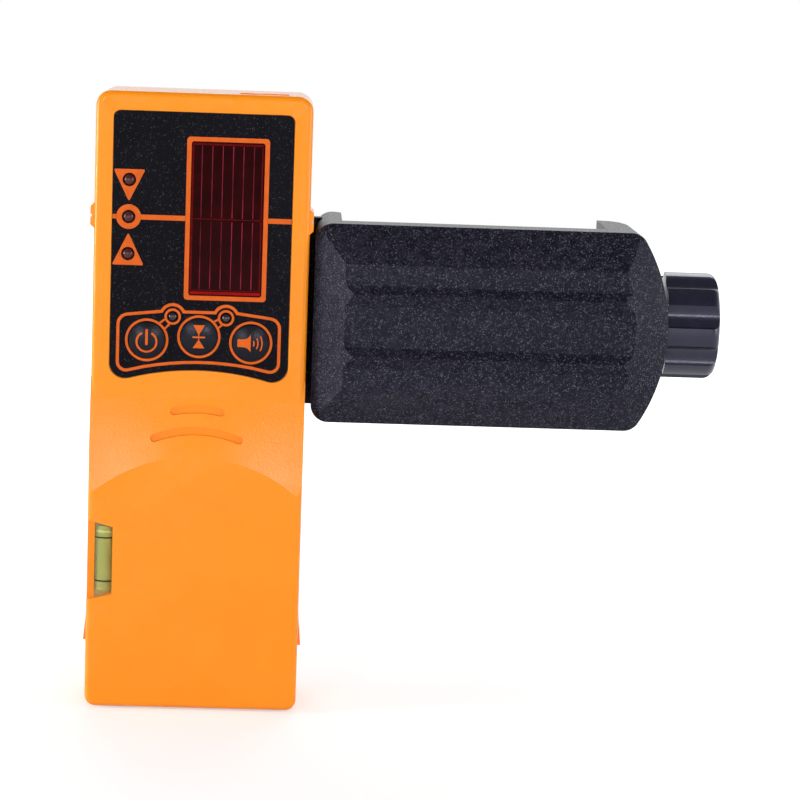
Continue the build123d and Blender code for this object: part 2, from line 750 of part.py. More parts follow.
def battery():
    """Nine volt block with its two terminals on top."""
    low = bay_bottom + BAY_CLEARANCE
    high = low + BATTERY_HEIGHT
    case = rx_block(BATTERY_WIDTH / 2, battery_front_y, battery_back_y, low, high)
    case = fillet(case.edges().filter_by(Axis.Z), BATTERY_EDGE_R)
    middle_y = (battery_front_y + battery_back_y) / 2
    for side in (-1, 1):
        place = Pos(rx_mid + side * TERMINAL_SPACING / 2, middle_y, high + TERMINAL_HEIGHT / 2)
        case = case + place * Cylinder(TERMINAL_R, TERMINAL_HEIGHT)
    return case


def battery_snap():
    """Snap connector that sits on the battery's terminals."""
    low = bay_bottom + BAY_CLEARANCE + BATTERY_HEIGHT + TERMINAL_HEIGHT
    middle_y = (battery_front_y + battery_back_y) / 2
    half_y = BATTERY_THICK / 2 - BATTERY_EDGE_R
    half_x = BATTERY_WIDTH / 2 - BATTERY_EDGE_R
    return rx_block(half_x, middle_y - half_y, middle_y + half_y, low, low + SNAP_THICK)


def case_screws():
    """Four screws from the back that close the housing."""
    seat_y = rx_back_y - CASE_SCREW_SINK
    screws = []
    for x, z in case_screw_places:
        shank = rod(x, z, CASE_SCREW_R, split_y - CASE_SCREW_BITE, seat_y)
        head = rod(x, z, CASE_SCREW_HEAD_R, seat_y, seat_y + CASE_SCREW_HEAD)
        screws.append((shank + head).solid())
    return Compound(screws)


def thread_insert():
    """Brass insert in the receiver's back."""
    front = rx_back_y - LOCK_WELL_DEPTH - INSERT_LENGTH
    return rod(rx_mid, 0, INSERT_R, front, front + INSERT_LENGTH) - rod(
        rx_mid, 0, LOCK_R + FIT, front, front + INSERT_LENGTH
    )


def axle(radius, left, right):
    """Round rod along the clamp screw's axis."""
    return bar(Pos(screw_y, 0) * Circle(radius), left, right)


def clamp_outline(left_inset, right_inset):
    """Clamp outline seen from the front: straight left end, arched right end, rounded corners."""
    left = frame_left + left_inset
    corner = end_corner_x - right_inset
    apex = end_apex_x - right_inset
    sides = Polyline((corner, clamp_half), (left, clamp_half), (left, -clamp_half), (corner, -clamp_half))
    arch = ThreePointArc((corner, -clamp_half), (apex, 0), (corner, clamp_half))
    return fillet(make_face([sides, arch]).vertices(), COVER_CORNER_R)


def cover_section():
    """Cross-section of the cover: middle flat, two ridges that lean up, outer flats and slanted facets."""
    foot = MIDDLE_FLAT / 2

    def half(side):
        return [
            (cover_front_y, side * foot),
            (cover_front_y - RIDGE_HEIGHT, side * (foot + RIDGE_WIDTH / 2) + RIDGE_LEAN),
            (cover_front_y, side * (foot + RIDGE_WIDTH)),
            (cover_front_y, side * (clamp_half - FACET_HEIGHT)),
            (frame_front_y, side * clamp_half),
        ]

    return make_face(Polyline(*half(1), *reversed(half(-1)), close=True))


def clamp_cover():
    """Ridged cover with bevelled ends, hollow at the back."""
    rise = COVER_THICK + 2 * RIDGE_HEIGHT
    share = rise / COVER_THICK
    base = Plane.XZ.offset(-frame_front_y) * clamp_outline(0, 0)
    peak = clamp_outline(LEFT_BEVEL * share, RIGHT_BEVEL * share)
    hip = loft([base, Plane.XZ.offset(rise - frame_front_y) * peak], ruled=True)
    cover = bar(cover_section(), frame_left, end_apex_x) & hip
    return cover - block(
        frame_left + LEFT_BEVEL,
        end_corner_x - RIGHT_BEVEL,
        frame_front_y - COVER_POCKET_DEPTH,
        frame_front_y,
        FACET_HEIGHT - clamp_half,
        clamp_half - FACET_HEIGHT,
    )


def frame_blank():
    """Solid clamp body behind the cover, its right end rounded towards the back."""
    start = jaw_back_y - END_REAR_R
    body = slab(clamp_outline(0, 0), frame_front_y, start)
    sections = []
    for share in END_ROUND_SHARES:
        inset = END_REAR_R * (1 - math.sqrt(1 - share**2))
        sections.append(Plane.XZ.offset(-(start + share * END_REAR_R)) * clamp_outline(0, inset))
    return body + loft(sections, ruled=True)


def corner_cut(x, inward):
    """Upright prism that takes a rear corner off the fixed jaw."""
    cut = JAW_REAR_CHAMFER
    corner = Polyline((x, jaw_back_y - cut), (x, jaw_back_y), (x + inward * cut, jaw_back_y), close=True)
    return extrude(Plane.XY.offset(-clamp_half) * make_face(corner), CLAMP_HEIGHT)


def front_wall_pockets():
    """Core-outs in the front wall, behind the cover, above and below the jaw's track."""
    left = jaw_face_x + FRAME_RIB
    pitch = (end_wall_x - left) / POCKET_COLUMNS
    low = TRACK_BAND / 2
    high = clamp_half - FRAME_RIB
    pockets = []
    for column in range(POCKET_COLUMNS):
        near = left + column * pitch
        far = near + pitch - FRAME_RIB
        pockets.append(block(near, far, frame_front_y, staff_face_y - FRAME_SKIN, low, high))
        pockets.append(block(near, far, frame_front_y, staff_face_y - FRAME_SKIN, -high, -low))
    return pockets


def mount_plate():
    """Plate behind the receiver with its locating pins, and the two gussets to the jaw."""
    left = rx_mid - MOUNT_PLATE_REACH
    right = frame_left + JAW_WALL / 2
    middle = (left + right) / 2
    outline = Pos(middle, 0) * Rectangle(right - left, MOUNT_PLATE_HEIGHT)
    outline = fillet(outline.vertices().group_by(Axis.X)[0], MOUNT_PLATE_CORNER_R)
    plate = slab(outline, rx_back_y, plate_back_y)
    for side in (-1, 1):
        pin_z = side * LOCATING_PIN_SPACING / 2
        plate = plate + rod(rx_mid, pin_z, LOCATING_PIN_R, rx_back_y - LOCATING_PIN_LENGTH, plate_back_y)
        tall = (right, jaw_back_y - JAW_REAR_CHAMFER)
        web = Polyline((right, plate_back_y), tall, (rx_mid + LOCK_KNOB_R, plate_back_y), close=True)
        low = side * GUSSET_SPREAD / 2 - GUSSET_THICK / 2
        plate = plate + extrude(Plane.XY.offset(low) * make_face(web), GUSSET_THICK)
    return plate - rod(rx_mid, 0, LOCK_R + HOLE_CLEARANCE, rx_back_y, plate_back_y)


def pad_block(left, right, clearance):
    """Rounded pad block between two X planes, centred on the jaws."""
    outline = RectangleRounded(PAD_DEPTH + 2 * clearance, PAD_HEIGHT + 2 * clearance, PAD_CORNER_R)
    return bar(outline, left, right)


def nut_profile(bore):
    """Half profile of the clamp nut: grooved brass body."""
    left = end_wall_x
    right = left + NUT_LENGTH
    groove = left + (NUT_LENGTH - NUT_GROOVE_WIDTH) / 2
    return Polyline(
        (left, bore),
        (left, NUT_R),
        (groove, NUT_R),
        (groove, NUT_R - NUT_GROOVE_DEPTH),
        (groove + NUT_GROOVE_WIDTH, NUT_R - NUT_GROOVE_DEPTH),
        (groove + NUT_GROOVE_WIDTH, NUT_R),
        (right, NUT_R),
        (right, bore),
        close=True,
    )


def clamp_frame():
    """C-shaped frame: front wall with the jaw's track, fixed jaw, end wall with nut seat, mount plate."""
    frame = frame_blank()
    frame = frame - block(jaw_face_x, end_wall_x, staff_face_y, jaw_back_y, -clamp_half, clamp_half)
    frame = frame - corner_cut(frame_left, 1) - corner_cut(jaw_face_x, -1)
    frame = frame + mount_plate()
    frame = frame - front_wall_pockets()
    frame = frame - pad_block(jaw_face_x + PAD_PROUD - PAD_THICK, jaw_face_x, FIT)
    track_left = slide_jaw_face - SLIDE_CLEARANCE
    frame = frame - block(
        track_left, end_wall_x, staff_face_y - TRACK_DEPTH, staff_face_y, -TRACK_WIDTH / 2, TRACK_WIDTH / 2
    )
    frame = frame - turned_x(nut_profile(0))
    return frame - axle(SCREW_R + SLIDE_CLEARANCE, end_wall_x, end_apex_x)


def fixed_jaw_pad():
    """Rubber pad let into the fixed jaw; its face is the clamp's datum."""
    return pad_block(jaw_face_x + PAD_PROUD - PAD_THICK, jaw_face_x + PAD_PROUD, 0)


def clip_pocket_floor():
    """X of the floor of the clip pocket in the moving jaw."""
    return slide_jaw_face + PAD_THICK - PAD_PROUD + CLIP_POCKET_DEPTH


def glide_block(clearance):
    """Block from the pocket in the moving jaw into the frame's track, enlarged by clearance."""
    half = TRACK_WIDTH / 2 - SLIDE_CLEARANCE + clearance
    glide = block(
        slide_jaw_face + GLIDE_MARGIN - clearance,
        slide_jaw_back - GLIDE_MARGIN + clearance,
        staff_face_y - TRACK_DEPTH + SLIDE_CLEARANCE,
        staff_face_y + SLIDE_CLEARANCE + GLIDE_SEAT + clearance,
        -half,
        half,
    )
    return fillet(glide.edges().filter_by(Axis.Y), GLIDE_CORNER_R + clearance)


def jaw_glide():
    """Glide pressed into the moving jaw; it runs in the frame's track."""
    return glide_block(0)


def moving_jaw():
    """Sliding jaw with a glide pocket, a pad recess and the screw's bearing."""
    front = staff_face_y + SLIDE_CLEARANCE
    half = JAW_HEIGHT / 2
    jaw = block(slide_jaw_face, slide_jaw_back, front, jaw_back_y - SLIDE_CLEARANCE, -half, half)
    jaw = fillet(jaw.edges().filter_by(Axis.X), JAW_EDGE_R)
    jaw = jaw - glide_block(FIT)
    jaw = jaw - pad_block(slide_jaw_face, slide_jaw_face + PAD_THICK - PAD_PROUD, FIT)
    jaw = jaw - axle(CLIP_POCKET_R, slide_jaw_face, clip_pocket_floor())
    return jaw - axle(JOURNAL_R + FIT, slide_jaw_face, slide_jaw_back)


def moving_jaw_pad():
    """Rubber pad let into the moving jaw."""
    return pad_block(JAW_REST_GAP, JAW_REST_GAP + PAD_THICK, 0)


def clamp_screw():
    """Pushing screw: journal with a clip groove in the jaw, full diameter through the nut into the knob."""
    clip_right = clip_pocket_floor() - FIT
    clip_left = clip_right - CLIP_THICK
    tip = clip_left - CLIP_THICK
    shoulder = slide_jaw_back + FIT
    end = knob_left + KNOB_LENGTH - KNOB_END_WALL
    profile = Polyline(
        (tip, 0),
        (tip, JOURNAL_R),
        (clip_left - FIT, JOURNAL_R),
        (clip_left - FIT, CLIP_GROOVE_R),
        (clip_right + FIT, CLIP_GROOVE_R),
        (clip_right + FIT, JOURNAL_R),
        (shoulder, JOURNAL_R),
        (shoulder, SCREW_R),
        (end, SCREW_R),
        (end, 0),
        close=True,
    )
    return turned_x(profile)


def screw_clip():
    """Open clip in the screw's groove that pulls the jaw back."""
    right = clip_pocket_floor() - FIT
    left = right - CLIP_THICK
    ring = axle(CLIP_OUTER_R, left, right) - axle(CLIP_GROOVE_R + FIT, left, right)
    mouth = CLIP_GROOVE_R
    return ring - block(left, right, screw_y, screw_y + CLIP_OUTER_R, -mouth, mouth)


def clamp_nut():
    """Grooved brass nut moulded into the end wall."""
    return turned_x(nut_profile(SCREW_R + FIT))


def flutes(radius, count, flute_r, depth, start=0.0):
    """Circles that cut flutes into the rim of a knob, the first one start degrees round it."""
    return [place * Circle(flute_r) for place in PolarLocations(radius + flute_r - depth, count, start)]


def knob_profile(near, far, radius, edge):
    """Half profile of a knob along its axis with a rounded outer edge."""
    lean = edge * (1 - math.sqrt(0.5))
    wall = Polyline((near, 0), (near, radius), (far - edge, radius))
    round_edge = ThreePointArc((far - edge, radius), (far - lean, radius - lean), (far, radius - edge))
    face = Polyline((far, radius - edge), (far, 0), (near, 0))
    return [wall, round_edge, face]


def clamp_knob():
    """Fluted knob fixed on the clamp screw's outer end."""
    right = knob_left + KNOB_LENGTH
    knob = turned_x(knob_profile(knob_left, right, KNOB_R, KNOB_EDGE_R))
    for flute in flutes(KNOB_R, KNOB_FLUTES, KNOB_FLUTE_R, KNOB_FLUTE_DEPTH, KNOB_FLUTE_START):
        knob = knob - bar(Pos(screw_y, 0) * flute, knob_left, right)
    return knob - axle(SCREW_R + FIT, knob_left, right - KNOB_END_WALL)


def lock_clip_span():
    """Depths of the front and back of the lock screw's clip."""
    front = rx_back_y - LOCK_WELL_DEPTH + LOCK_CLIP_GROOVE
    return front, front + LOCK_CLIP_THICK


def lock_stud():
    """Steel stud of the hand screw, from the knob through the mount plate into the receiver's insert."""
    front, back = lock_clip_span()
    tip = rx_back_y - LOCK_WELL_DEPTH - INSERT_LENGTH + FIT
    end = plate_back_y + LOCK_SEAT_GAP + LOCK_KNOB_LENGTH - LOCK_END_WALL
    groove = LOCK_R - LOCK_CLIP_GROOVE
    stud = rod(rx_mid, 0, LOCK_R, tip, front - FIT) + rod(rx_mid, 0, groove, front - FIT, back + FIT)
    return stud + rod(rx_mid, 0, LOCK_R, back + FIT, end)


def lock_knob():
    """Fluted knob of the hand screw."""
    near = plate_back_y + LOCK_SEAT_GAP
    far = near + LOCK_KNOB_LENGTH
    half = Plane.XY.rotated((0, 180, 90)) * make_face(knob_profile(near, far, LOCK_KNOB_R, LOCK_EDGE_R))
    knob = Pos(rx_mid, 0, 0) * revolve(half, Axis.Y)
    for flute in flutes(LOCK_KNOB_R, LOCK_FLUTES, LOCK_FLUTE_R, LOCK_FLUTE_DEPTH):
        knob = knob - slab(Pos(rx_mid, 0) * flute, near, far)
    return knob - rod(rx_mid, 0, LOCK_R + FIT, near, far - LOCK_END_WALL)


def lock_clip():
    """Ring on the lock screw that keeps it captive in the mount plate."""
    front, back = lock_clip_span()
    bore = LOCK_R - LOCK_CLIP_GROOVE + FIT
    return rod(rx_mid, 0, LOCK_CLIP_R, front, back) - rod(rx_mid, 0, bore, front, back)


def build_nodes():
    """Every piece by its node name."""
    light_names = ("light_high", "light_on_grade", "light_low")
    status_names = ("status_light_power", "status_light_accuracy")
    key_names = ("power_key", "accuracy_key", "sound_key")
    makers = (
        front_shell,
        rear_shell,
        panel_overlay,
        sensor_window,
        photodiodes,
        main_board,
        board_screws,
        key_switches,
        beeper,
        vial_tube,
        vial_fluid,
        battery_door,
        battery,
        battery_snap,
        case_screws,
        thread_insert,
        clamp_frame,
        clamp_cover,
        fixed_jaw_pad,
        moving_jaw,
        moving_jaw_pad,
        jaw_glide,
        clamp_screw,
        screw_clip,
        clamp_nut,
        clamp_knob,
        lock_knob,
        lock_stud,
        lock_clip,
    )
    nodes = {maker.__name__: maker() for maker in makers}
    nodes["case_seal"] = seal_ring()
    for name, (x, z) in zip(light_names, light_places):
        nodes[name] = light(x, z, LIGHT_R, LIGHT_PROUD)
    for name, (x, z) in zip(status_names, status_places):
        nodes[name] = light(x, z, STATUS_R, STATUS_PROUD)
    for name, (x, z) in zip(key_names, key_places):
        nodes[name] = key(x, z)
    return nodes


os.makedirs("parts", exist_ok=True)
for node_name, piece in build_nodes().items():
    export_step(piece, f"parts/{node_name}.step")
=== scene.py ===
import math

import bmesh
import bpy
from mathutils import Matrix, Vector
from mathutils.geometry import tessellate_polygon


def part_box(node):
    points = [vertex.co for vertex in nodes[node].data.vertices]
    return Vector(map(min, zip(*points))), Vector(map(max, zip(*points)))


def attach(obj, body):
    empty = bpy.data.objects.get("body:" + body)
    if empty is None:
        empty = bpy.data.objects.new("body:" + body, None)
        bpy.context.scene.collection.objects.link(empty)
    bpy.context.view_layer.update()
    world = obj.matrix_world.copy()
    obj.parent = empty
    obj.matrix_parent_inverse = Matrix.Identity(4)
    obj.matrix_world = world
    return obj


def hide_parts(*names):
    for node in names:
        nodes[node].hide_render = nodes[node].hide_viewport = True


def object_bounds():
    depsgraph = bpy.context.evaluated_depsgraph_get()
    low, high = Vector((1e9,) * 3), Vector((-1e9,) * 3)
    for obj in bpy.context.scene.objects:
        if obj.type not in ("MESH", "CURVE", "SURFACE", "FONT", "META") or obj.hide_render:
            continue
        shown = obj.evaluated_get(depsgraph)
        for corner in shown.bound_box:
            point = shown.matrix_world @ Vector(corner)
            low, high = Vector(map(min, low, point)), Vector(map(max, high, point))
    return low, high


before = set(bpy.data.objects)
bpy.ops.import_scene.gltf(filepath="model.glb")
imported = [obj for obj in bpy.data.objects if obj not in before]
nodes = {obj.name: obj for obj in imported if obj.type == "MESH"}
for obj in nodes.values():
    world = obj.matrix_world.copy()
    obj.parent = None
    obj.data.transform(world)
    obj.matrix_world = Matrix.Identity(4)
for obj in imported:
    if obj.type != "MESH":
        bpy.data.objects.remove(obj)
cad_low, cad_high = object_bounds()
scene = bpy.context.scene
MM = 0.001


# Shader nodes

PER_METRE = 1000.0  # scale of a texture whose cells are 1 mm across
EVEN = (1, 1, 1)
PATCH_LOW, PATCH_HIGH = 0.3, 0.7  # most of a noise lies between these
MIX_BASE, MIX_COLOUR, MIX_RESULT = 6, 7, 2  # sockets of a mix node that mixes colours


def set_values(made, values):
    """Sets sockets and settings by name; an underscore stands for a space in a socket's name."""
    for key, value in values.items():
        socket = made.inputs.get(key.replace("_", " "))
        if socket is None:
            setattr(made, key, value)
        else:
            socket.default_value = value


def node(tree, kind, **values):
    """New node with the given values."""
    made = tree.nodes.new(kind)
    set_values(made, values)
    return made


def fed(tree, kind, *sources, **values):
    """First output of a new node whose first inputs come from the sources."""
    made = node(tree, kind, **values)
    for source, socket in zip(sources, made.inputs):
        tree.links.new(source, socket)
    return made.outputs[0]


def place(tree):
    """Position on the object, in metres."""
    return node(tree, "ShaderNodeTexCoord").outputs["Object"]


def height(tree, position):
    """Third coordinate of a position."""
    parts = node(tree, "ShaderNodeSeparateXYZ")
    tree.links.new(position, parts.inputs["Vector"])
    return parts.outputs["Z"]


def noise(tree, size_mm, detail=3.0, rough=0.5, stretch=EVEN):
    """Noise whose patches are about size_mm across."""
    where = place(tree)
    if stretch != EVEN:
        where = fed(tree, "ShaderNodeMapping", where, Scale=stretch)
    texture = node(tree, "ShaderNodeTexNoise", Scale=PER_METRE / size_mm, Detail=detail, Roughness=rough)
    tree.links.new(where, texture.inputs["Vector"])
    return texture.outputs["Fac"]


def cells(tree, size_mm):
    """Cells about size_mm across, each round a scattered point."""
    texture = node(tree, "ShaderNodeTexVoronoi", Scale=PER_METRE / size_mm)
    tree.links.new(place(tree), texture.inputs["Vector"])
    return texture.outputs


def ramp(tree, fac, *stops):
    """Colour ramp from stops of (position, colour)."""
    made = node(tree, "ShaderNodeValToRGB")
    elements = made.color_ramp.elements
    while len(elements) < len(stops):
        elements.new(0.5)
    for element, (position, colour) in zip(elements, stops):
        element.position = position
        element.color = (*colour, 1.0)
    tree.links.new(fac, made.inputs["Fac"])
    return made.outputs["Color"]


def spread(tree, fac, low, high, start, end):
    """Maps fac from start..end to low..high."""
    return fed(tree, "ShaderNodeMapRange", fac, From_Min=start, From_Max=end, To_Min=low, To_Max=high)


def product(tree, first, second):
    return fed(tree, "ShaderNodeMath", first, second, operation="MULTIPLY")


def greater(tree, first, second):
    return fed(tree, "ShaderNodeMath", first, second, operation="MAXIMUM")


def blend(tree, fac, base, colour):
    """Mixes a plain colour into a base by fac."""
    made = node(tree, "ShaderNodeMix", data_type="RGBA")
    tree.links.new(fac, made.inputs["Factor"])
    tree.links.new(base, made.inputs[MIX_BASE])
    made.inputs[MIX_COLOUR].default_value = (*colour, 1.0)
    return made.outputs[MIX_RESULT]


def patches(tree, size_mm, dark, light, detail=3.0):
    """Colour that drifts between dark and light."""
    return ramp(tree, noise(tree, size_mm, detail), (PATCH_LOW, dark), (PATCH_HIGH, light))


def uneven_gloss(tree, shader, size_mm, low, high, detail=3.0):
    """Roughness that drifts between low and high."""
    gloss = spread(tree, noise(tree, size_mm, detail), low, high, PATCH_LOW, PATCH_HIGH)
    tree.links.new(gloss, shader.inputs["Roughness"])


def relief(tree, shader, grain, depth_mm):
    """Fine surface grain."""
    bump = node(tree, "ShaderNodeBump", Strength=1.0, Distance=depth_mm * MM)
    tree.links.new(grain, bump.inputs["Height"])
    tree.links.new(bump.outputs["Normal"], shader.inputs["Normal"])


# Kinds of material

EDGE_WEAR_AND_SHEEN = 0.5  # share of the lighter colour on the sharpest edges, part wear and part painted edge highlight
SPECK_RADIUS = 0.34  # in shares of the distance between specks
FINER = 0.7  # size of the gloss patches beside those of the colour


def shade(name, **values):
    """New node material; returns the material, its node tree and its main shader."""
    material = bpy.data.materials.new(name)
    material.use_nodes = True
    tree = material.node_tree
    shader = tree.nodes["Principled BSDF"]
    set_values(shader, values)
    return material, tree, shader


def mottle(size_mm, dark, light):
    """Recipe of a tone in soft patches."""
    return lambda tree: patches(tree, size_mm, dark, light)


def grains(size_mm, *stops):
    """Recipe of a tone in moulded grain: each small cell takes a tone of its own from a ramp."""
    def tone(tree):
        lot = fed(tree, "ShaderNodeSeparateColor", cells(tree, size_mm)["Color"])
        return ramp(tree, lot, *stops)
    return tone


def plastic(name, tone, gloss_mm, roughness, grain_mm, grain_depth, **values):
    """Moulded plastic: the tone of a recipe, uneven gloss, fine grain."""
    material, tree, shader = shade(name, **values)
    tree.links.new(tone(tree), shader.inputs["Base Color"])
    uneven_gloss(tree, shader, gloss_mm, *roughness, detail=4.0)
    relief(tree, shader, noise(tree, grain_mm, detail=2.0), grain_depth)
    return material


def tinted(name, dark, light, size_mm, roughness, **values):
    """Moulded or painted piece of a slightly uneven colour."""
    material, tree, shader = shade(name, **values)
    tree.links.new(patches(tree, size_mm, dark, light), shader.inputs["Base Color"])
    uneven_gloss(tree, shader, size_mm * FINER, *roughness)
    return material


def metal(name, dark, light, roughness, streak=EVEN):
    """Bare metal with a fine grain, which the scale called streak can draw out."""
    material, tree, shader = shade(name, Metallic=1.0)
    streaks = noise(tree, 1.5, detail=4.0, rough=0.6, stretch=streak)
    tone = ramp(tree, streaks, (0.35, dark), (0.65, light))
    tree.links.new(tone, shader.inputs["Base Color"])
    uneven_gloss(tree, shader, 0.8, *roughness, detail=4.0)
    relief(tree, shader, noise(tree, 0.3, detail=2.0, stretch=streak), 0.004)
    return material


def lay_over(material, share, colour):
    """Lays a colour over the material's own by share."""
    tree = material.node_tree
    socket = tree.nodes["Principled BSDF"].inputs["Base Color"]
    base = socket.links[0].from_socket
    tree.links.new(blend(tree, share, base, colour), socket)


def wear_and_edge_sheen(material, edge_colour, low, high):
    """Edges lighter in patches, partly wear and partly a painted highlight where light catches them: from a
    sharpness of low on, and fully at high.
    """
    tree = material.node_tree
    sharpness = node(tree, "ShaderNodeNewGeometry").outputs["Pointiness"]
    wear_and_sheen = spread(tree, sharpness, 0.0, EDGE_WEAR_AND_SHEEN, low, high)
    patchy = spread(tree, noise(tree, 2.5, detail=4.0), 0.2, 1.0, 0.35, 0.65)
    lay_over(material, product(tree, wear_and_sheen, patchy), edge_colour)


def specks_and_glints(material, colour, size_mm, share):
    """Small light grains scattered over a dark surface: the surface's grain, painted lighter as glints."""
    tree = material.node_tree
    dot = spread(tree, cells(tree, size_mm)["Distance"], 1.0, 0.0, SPECK_RADIUS * 0.5, SPECK_RADIUS)
    chosen = spread(tree, noise(tree, size_mm * 2.3, detail=1.0), 0.0, 1.0, *share)
    lay_over(material, product(tree, dot, chosen), colour)


# Plastics, rubbers and print

LILAC = (0.80, 0.80, 1.0, 1.0)

orange = plastic(
    "orange_plastic", mottle(14.0, (0.95, 0.276, 0.0055), (0.97, 0.292, 0.0080)),
    gloss_mm=8.4, roughness=(0.12, 0.16), grain_mm=0.45, grain_depth=0.045, Specular_IOR_Level=0.26)
# Sharp edges of the orange painted lighter: wear and a painted edge highlight.
wear_and_edge_sheen(orange, (1.0, 0.36, 0.06), low=0.52, high=0.62)

black = plastic(
    "black_plastic",
    grains(0.27, (0.0, (0.0002, 0.0002, 0.0016)), (0.5, (0.0028, 0.0028, 0.0085)),
           (0.85, (0.0160, 0.0157, 0.0270)), (1.0, (0.098, 0.096, 0.130))),
    gloss_mm=0.27, roughness=(0.26, 0.44), grain_mm=0.42, grain_depth=0.16,
    Specular_IOR_Level=0.12, Specular_Tint=LILAC)
# Sharp edges painted lighter: wear and a painted edge highlight.
wear_and_edge_sheen(black, (0.034, 0.033, 0.046), low=0.51, high=0.60)
# Light grains: the plastic's grain with painted glints.
specks_and_glints(black, (0.180, 0.176, 0.205), size_mm=0.44, share=(0.56, 0.72))

knob_black = plastic(
    "knob_plastic", mottle(8.0, (0.0064, 0.0070, 0.0195), (0.0092, 0.0098, 0.0250)),
    gloss_mm=4.8, roughness=(0.18, 0.25), grain_mm=0.4, grain_depth=0.020,
    Specular_IOR_Level=0.52, Specular_Tint=LILAC)
# Sharp edges painted lighter: wear and a painted edge highlight.
wear_and_edge_sheen(knob_black, (0.024, 0.025, 0.036), low=0.52, high=0.62)

panel = plastic(
    "panel_print", mottle(7.0, (0.0022, 0.0021, 0.0042), (0.0042, 0.0040, 0.0068)),
    gloss_mm=4.2, roughness=(0.40, 0.52), grain_mm=0.30, grain_depth=0.040, Specular_IOR_Level=0.05)
# Light grains: the print's grain with painted glints.
specks_and_glints(panel, (0.060, 0.060, 0.072), size_mm=0.45, share=(0.46, 0.64))

print_ink = plastic(
    "print_ink", mottle(3.0, (0.64, 0.105, 0.009), (0.74, 0.128, 0.012)),
    gloss_mm=1.8, roughness=(0.42, 0.52), grain_mm=0.25, grain_depth=0.004, Specular_IOR_Level=0.15)
key_rubber = plastic(
    "key_rubber", mottle(4.0, (0.0018, 0.0018, 0.0030), (0.0034, 0.0034, 0.0054)),
    gloss_mm=2.4, roughness=(0.20, 0.28), grain_mm=0.45, grain_depth=0.030,
    Specular_IOR_Level=0.22, Specular_Tint=LILAC)
rubber = plastic(
    "rubber_black", mottle(5.0, (0.010, 0.010, 0.011), (0.020, 0.020, 0.021)),
    gloss_mm=3.0, roughness=(0.70, 0.85), grain_mm=0.6, grain_depth=0.04)
component = plastic(
    "component_black", mottle(3.0, (0.012, 0.012, 0.013), (0.022, 0.022, 0.023)),
    gloss_mm=1.8, roughness=(0.45, 0.60), grain_mm=0.3, grain_depth=0.01)


# Metals, lenses, board, battery and vial

def window_filter():
    """Deep red filter, slightly uneven, with little shine."""
    material, tree, shader = shade("window_red", Specular_IOR_Level=0.04)
    tone = patches(tree, 5.0, (0.014, 0.0004, 0.0007), (0.026, 0.0008, 0.0012), detail=2.0)
    tree.links.new(tone, shader.inputs["Base Color"])
    uneven_gloss(tree, shader, 3.0, 0.10, 0.16)
    return material


def board_lacquer():
    """Green solder mask with faint copper runs under it."""
    material, tree, shader = shade("board_green")
    runs = node(tree, "ShaderNodeTexBrick", Scale=260.0, Mortar_Size=0.06, Brick_Width=0.9, Row_Height=0.35)
    upright_place = fed(tree, "ShaderNodeMapping", place(tree), Rotation=(math.radians(90), 0, 0))
    tree.links.new(upright_place, runs.inputs["Vector"])
    mask = patches(tree, 4.0, (0.006, 0.075, 0.024), (0.010, 0.11, 0.035))
    tone = blend(tree, runs.outputs["Fac"], mask, (0.030, 0.19, 0.060))
    tree.links.new(tone, shader.inputs["Base Color"])
    uneven_gloss(tree, shader, 2.0, 0.22, 0.36)
    return material


def battery_wrap():
    """Plain two-tone wrapper of a 9 V block: dark body, copper-coloured top band."""
    band_start, band_edge = 0.72, 0.0001
    material, tree, shader = shade("battery_case")
    low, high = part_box("battery")
    split = low.z + band_start * (high.z - low.z)
    band = spread(tree, height(tree, place(tree)), 0.0, 1.0, split - band_edge, split + band_edge)
    body = patches(tree, 4.0, (0.020, 0.020, 0.022), (0.034, 0.034, 0.037))
    tree.links.new(blend(tree, band, body, (0.42, 0.20, 0.075)), shader.inputs["Base Color"])
    uneven_gloss(tree, shader, 1.5, 0.22, 0.34)
    return material


def clear_acrylic():
    """Clear tube of the vial, which lets light through to what lies behind it."""
    material, tree, shader = shade("vial_clear", Transmission_Weight=0.78, IOR=1.12)
    tone = patches(tree, 3.0, (0.66, 0.67, 0.31), (0.74, 0.75, 0.37))
    tree.links.new(tone, shader.inputs["Base Color"])
    uneven_gloss(tree, shader, 2.0, 0.02, 0.06)
    shadow = node(tree, "ShaderNodeLightPath").outputs["Is Shadow Ray"]
    through = node(tree, "ShaderNodeBsdfTransparent").outputs[0]
    surface = fed(tree, "ShaderNodeMixShader", shadow, shader.outputs[0], through)
    tree.links.new(surface, tree.nodes["Material Output"].inputs["Surface"])
    return material


steel = metal("steel", (0.50, 0.50, 0.51), (0.68, 0.68, 0.69), (0.22, 0.34), (1, 1, 0.2))
brass = metal("brass", (0.62, 0.42, 0.16), (0.76, 0.55, 0.24), (0.24, 0.36))
window_red = window_filter()
light_lens = tinted("light_lens", (0.042, 0.008, 0.008), (0.080, 0.018, 0.017), 0.7, (0.12, 0.22),
                    Specular_IOR_Level=0.3)
status_lens = tinted("status_lens", (0.010, 0.005, 0.009), (0.026, 0.013, 0.022), 0.7, (0.08, 0.14))
board_green = board_lacquer()
battery_case = battery_wrap()
vial_clear = clear_acrylic()
vial_green = tinted("vial_green", (0.44, 0.48, 0.17), (0.54, 0.57, 0.23), 2.5, (0.10, 0.16))

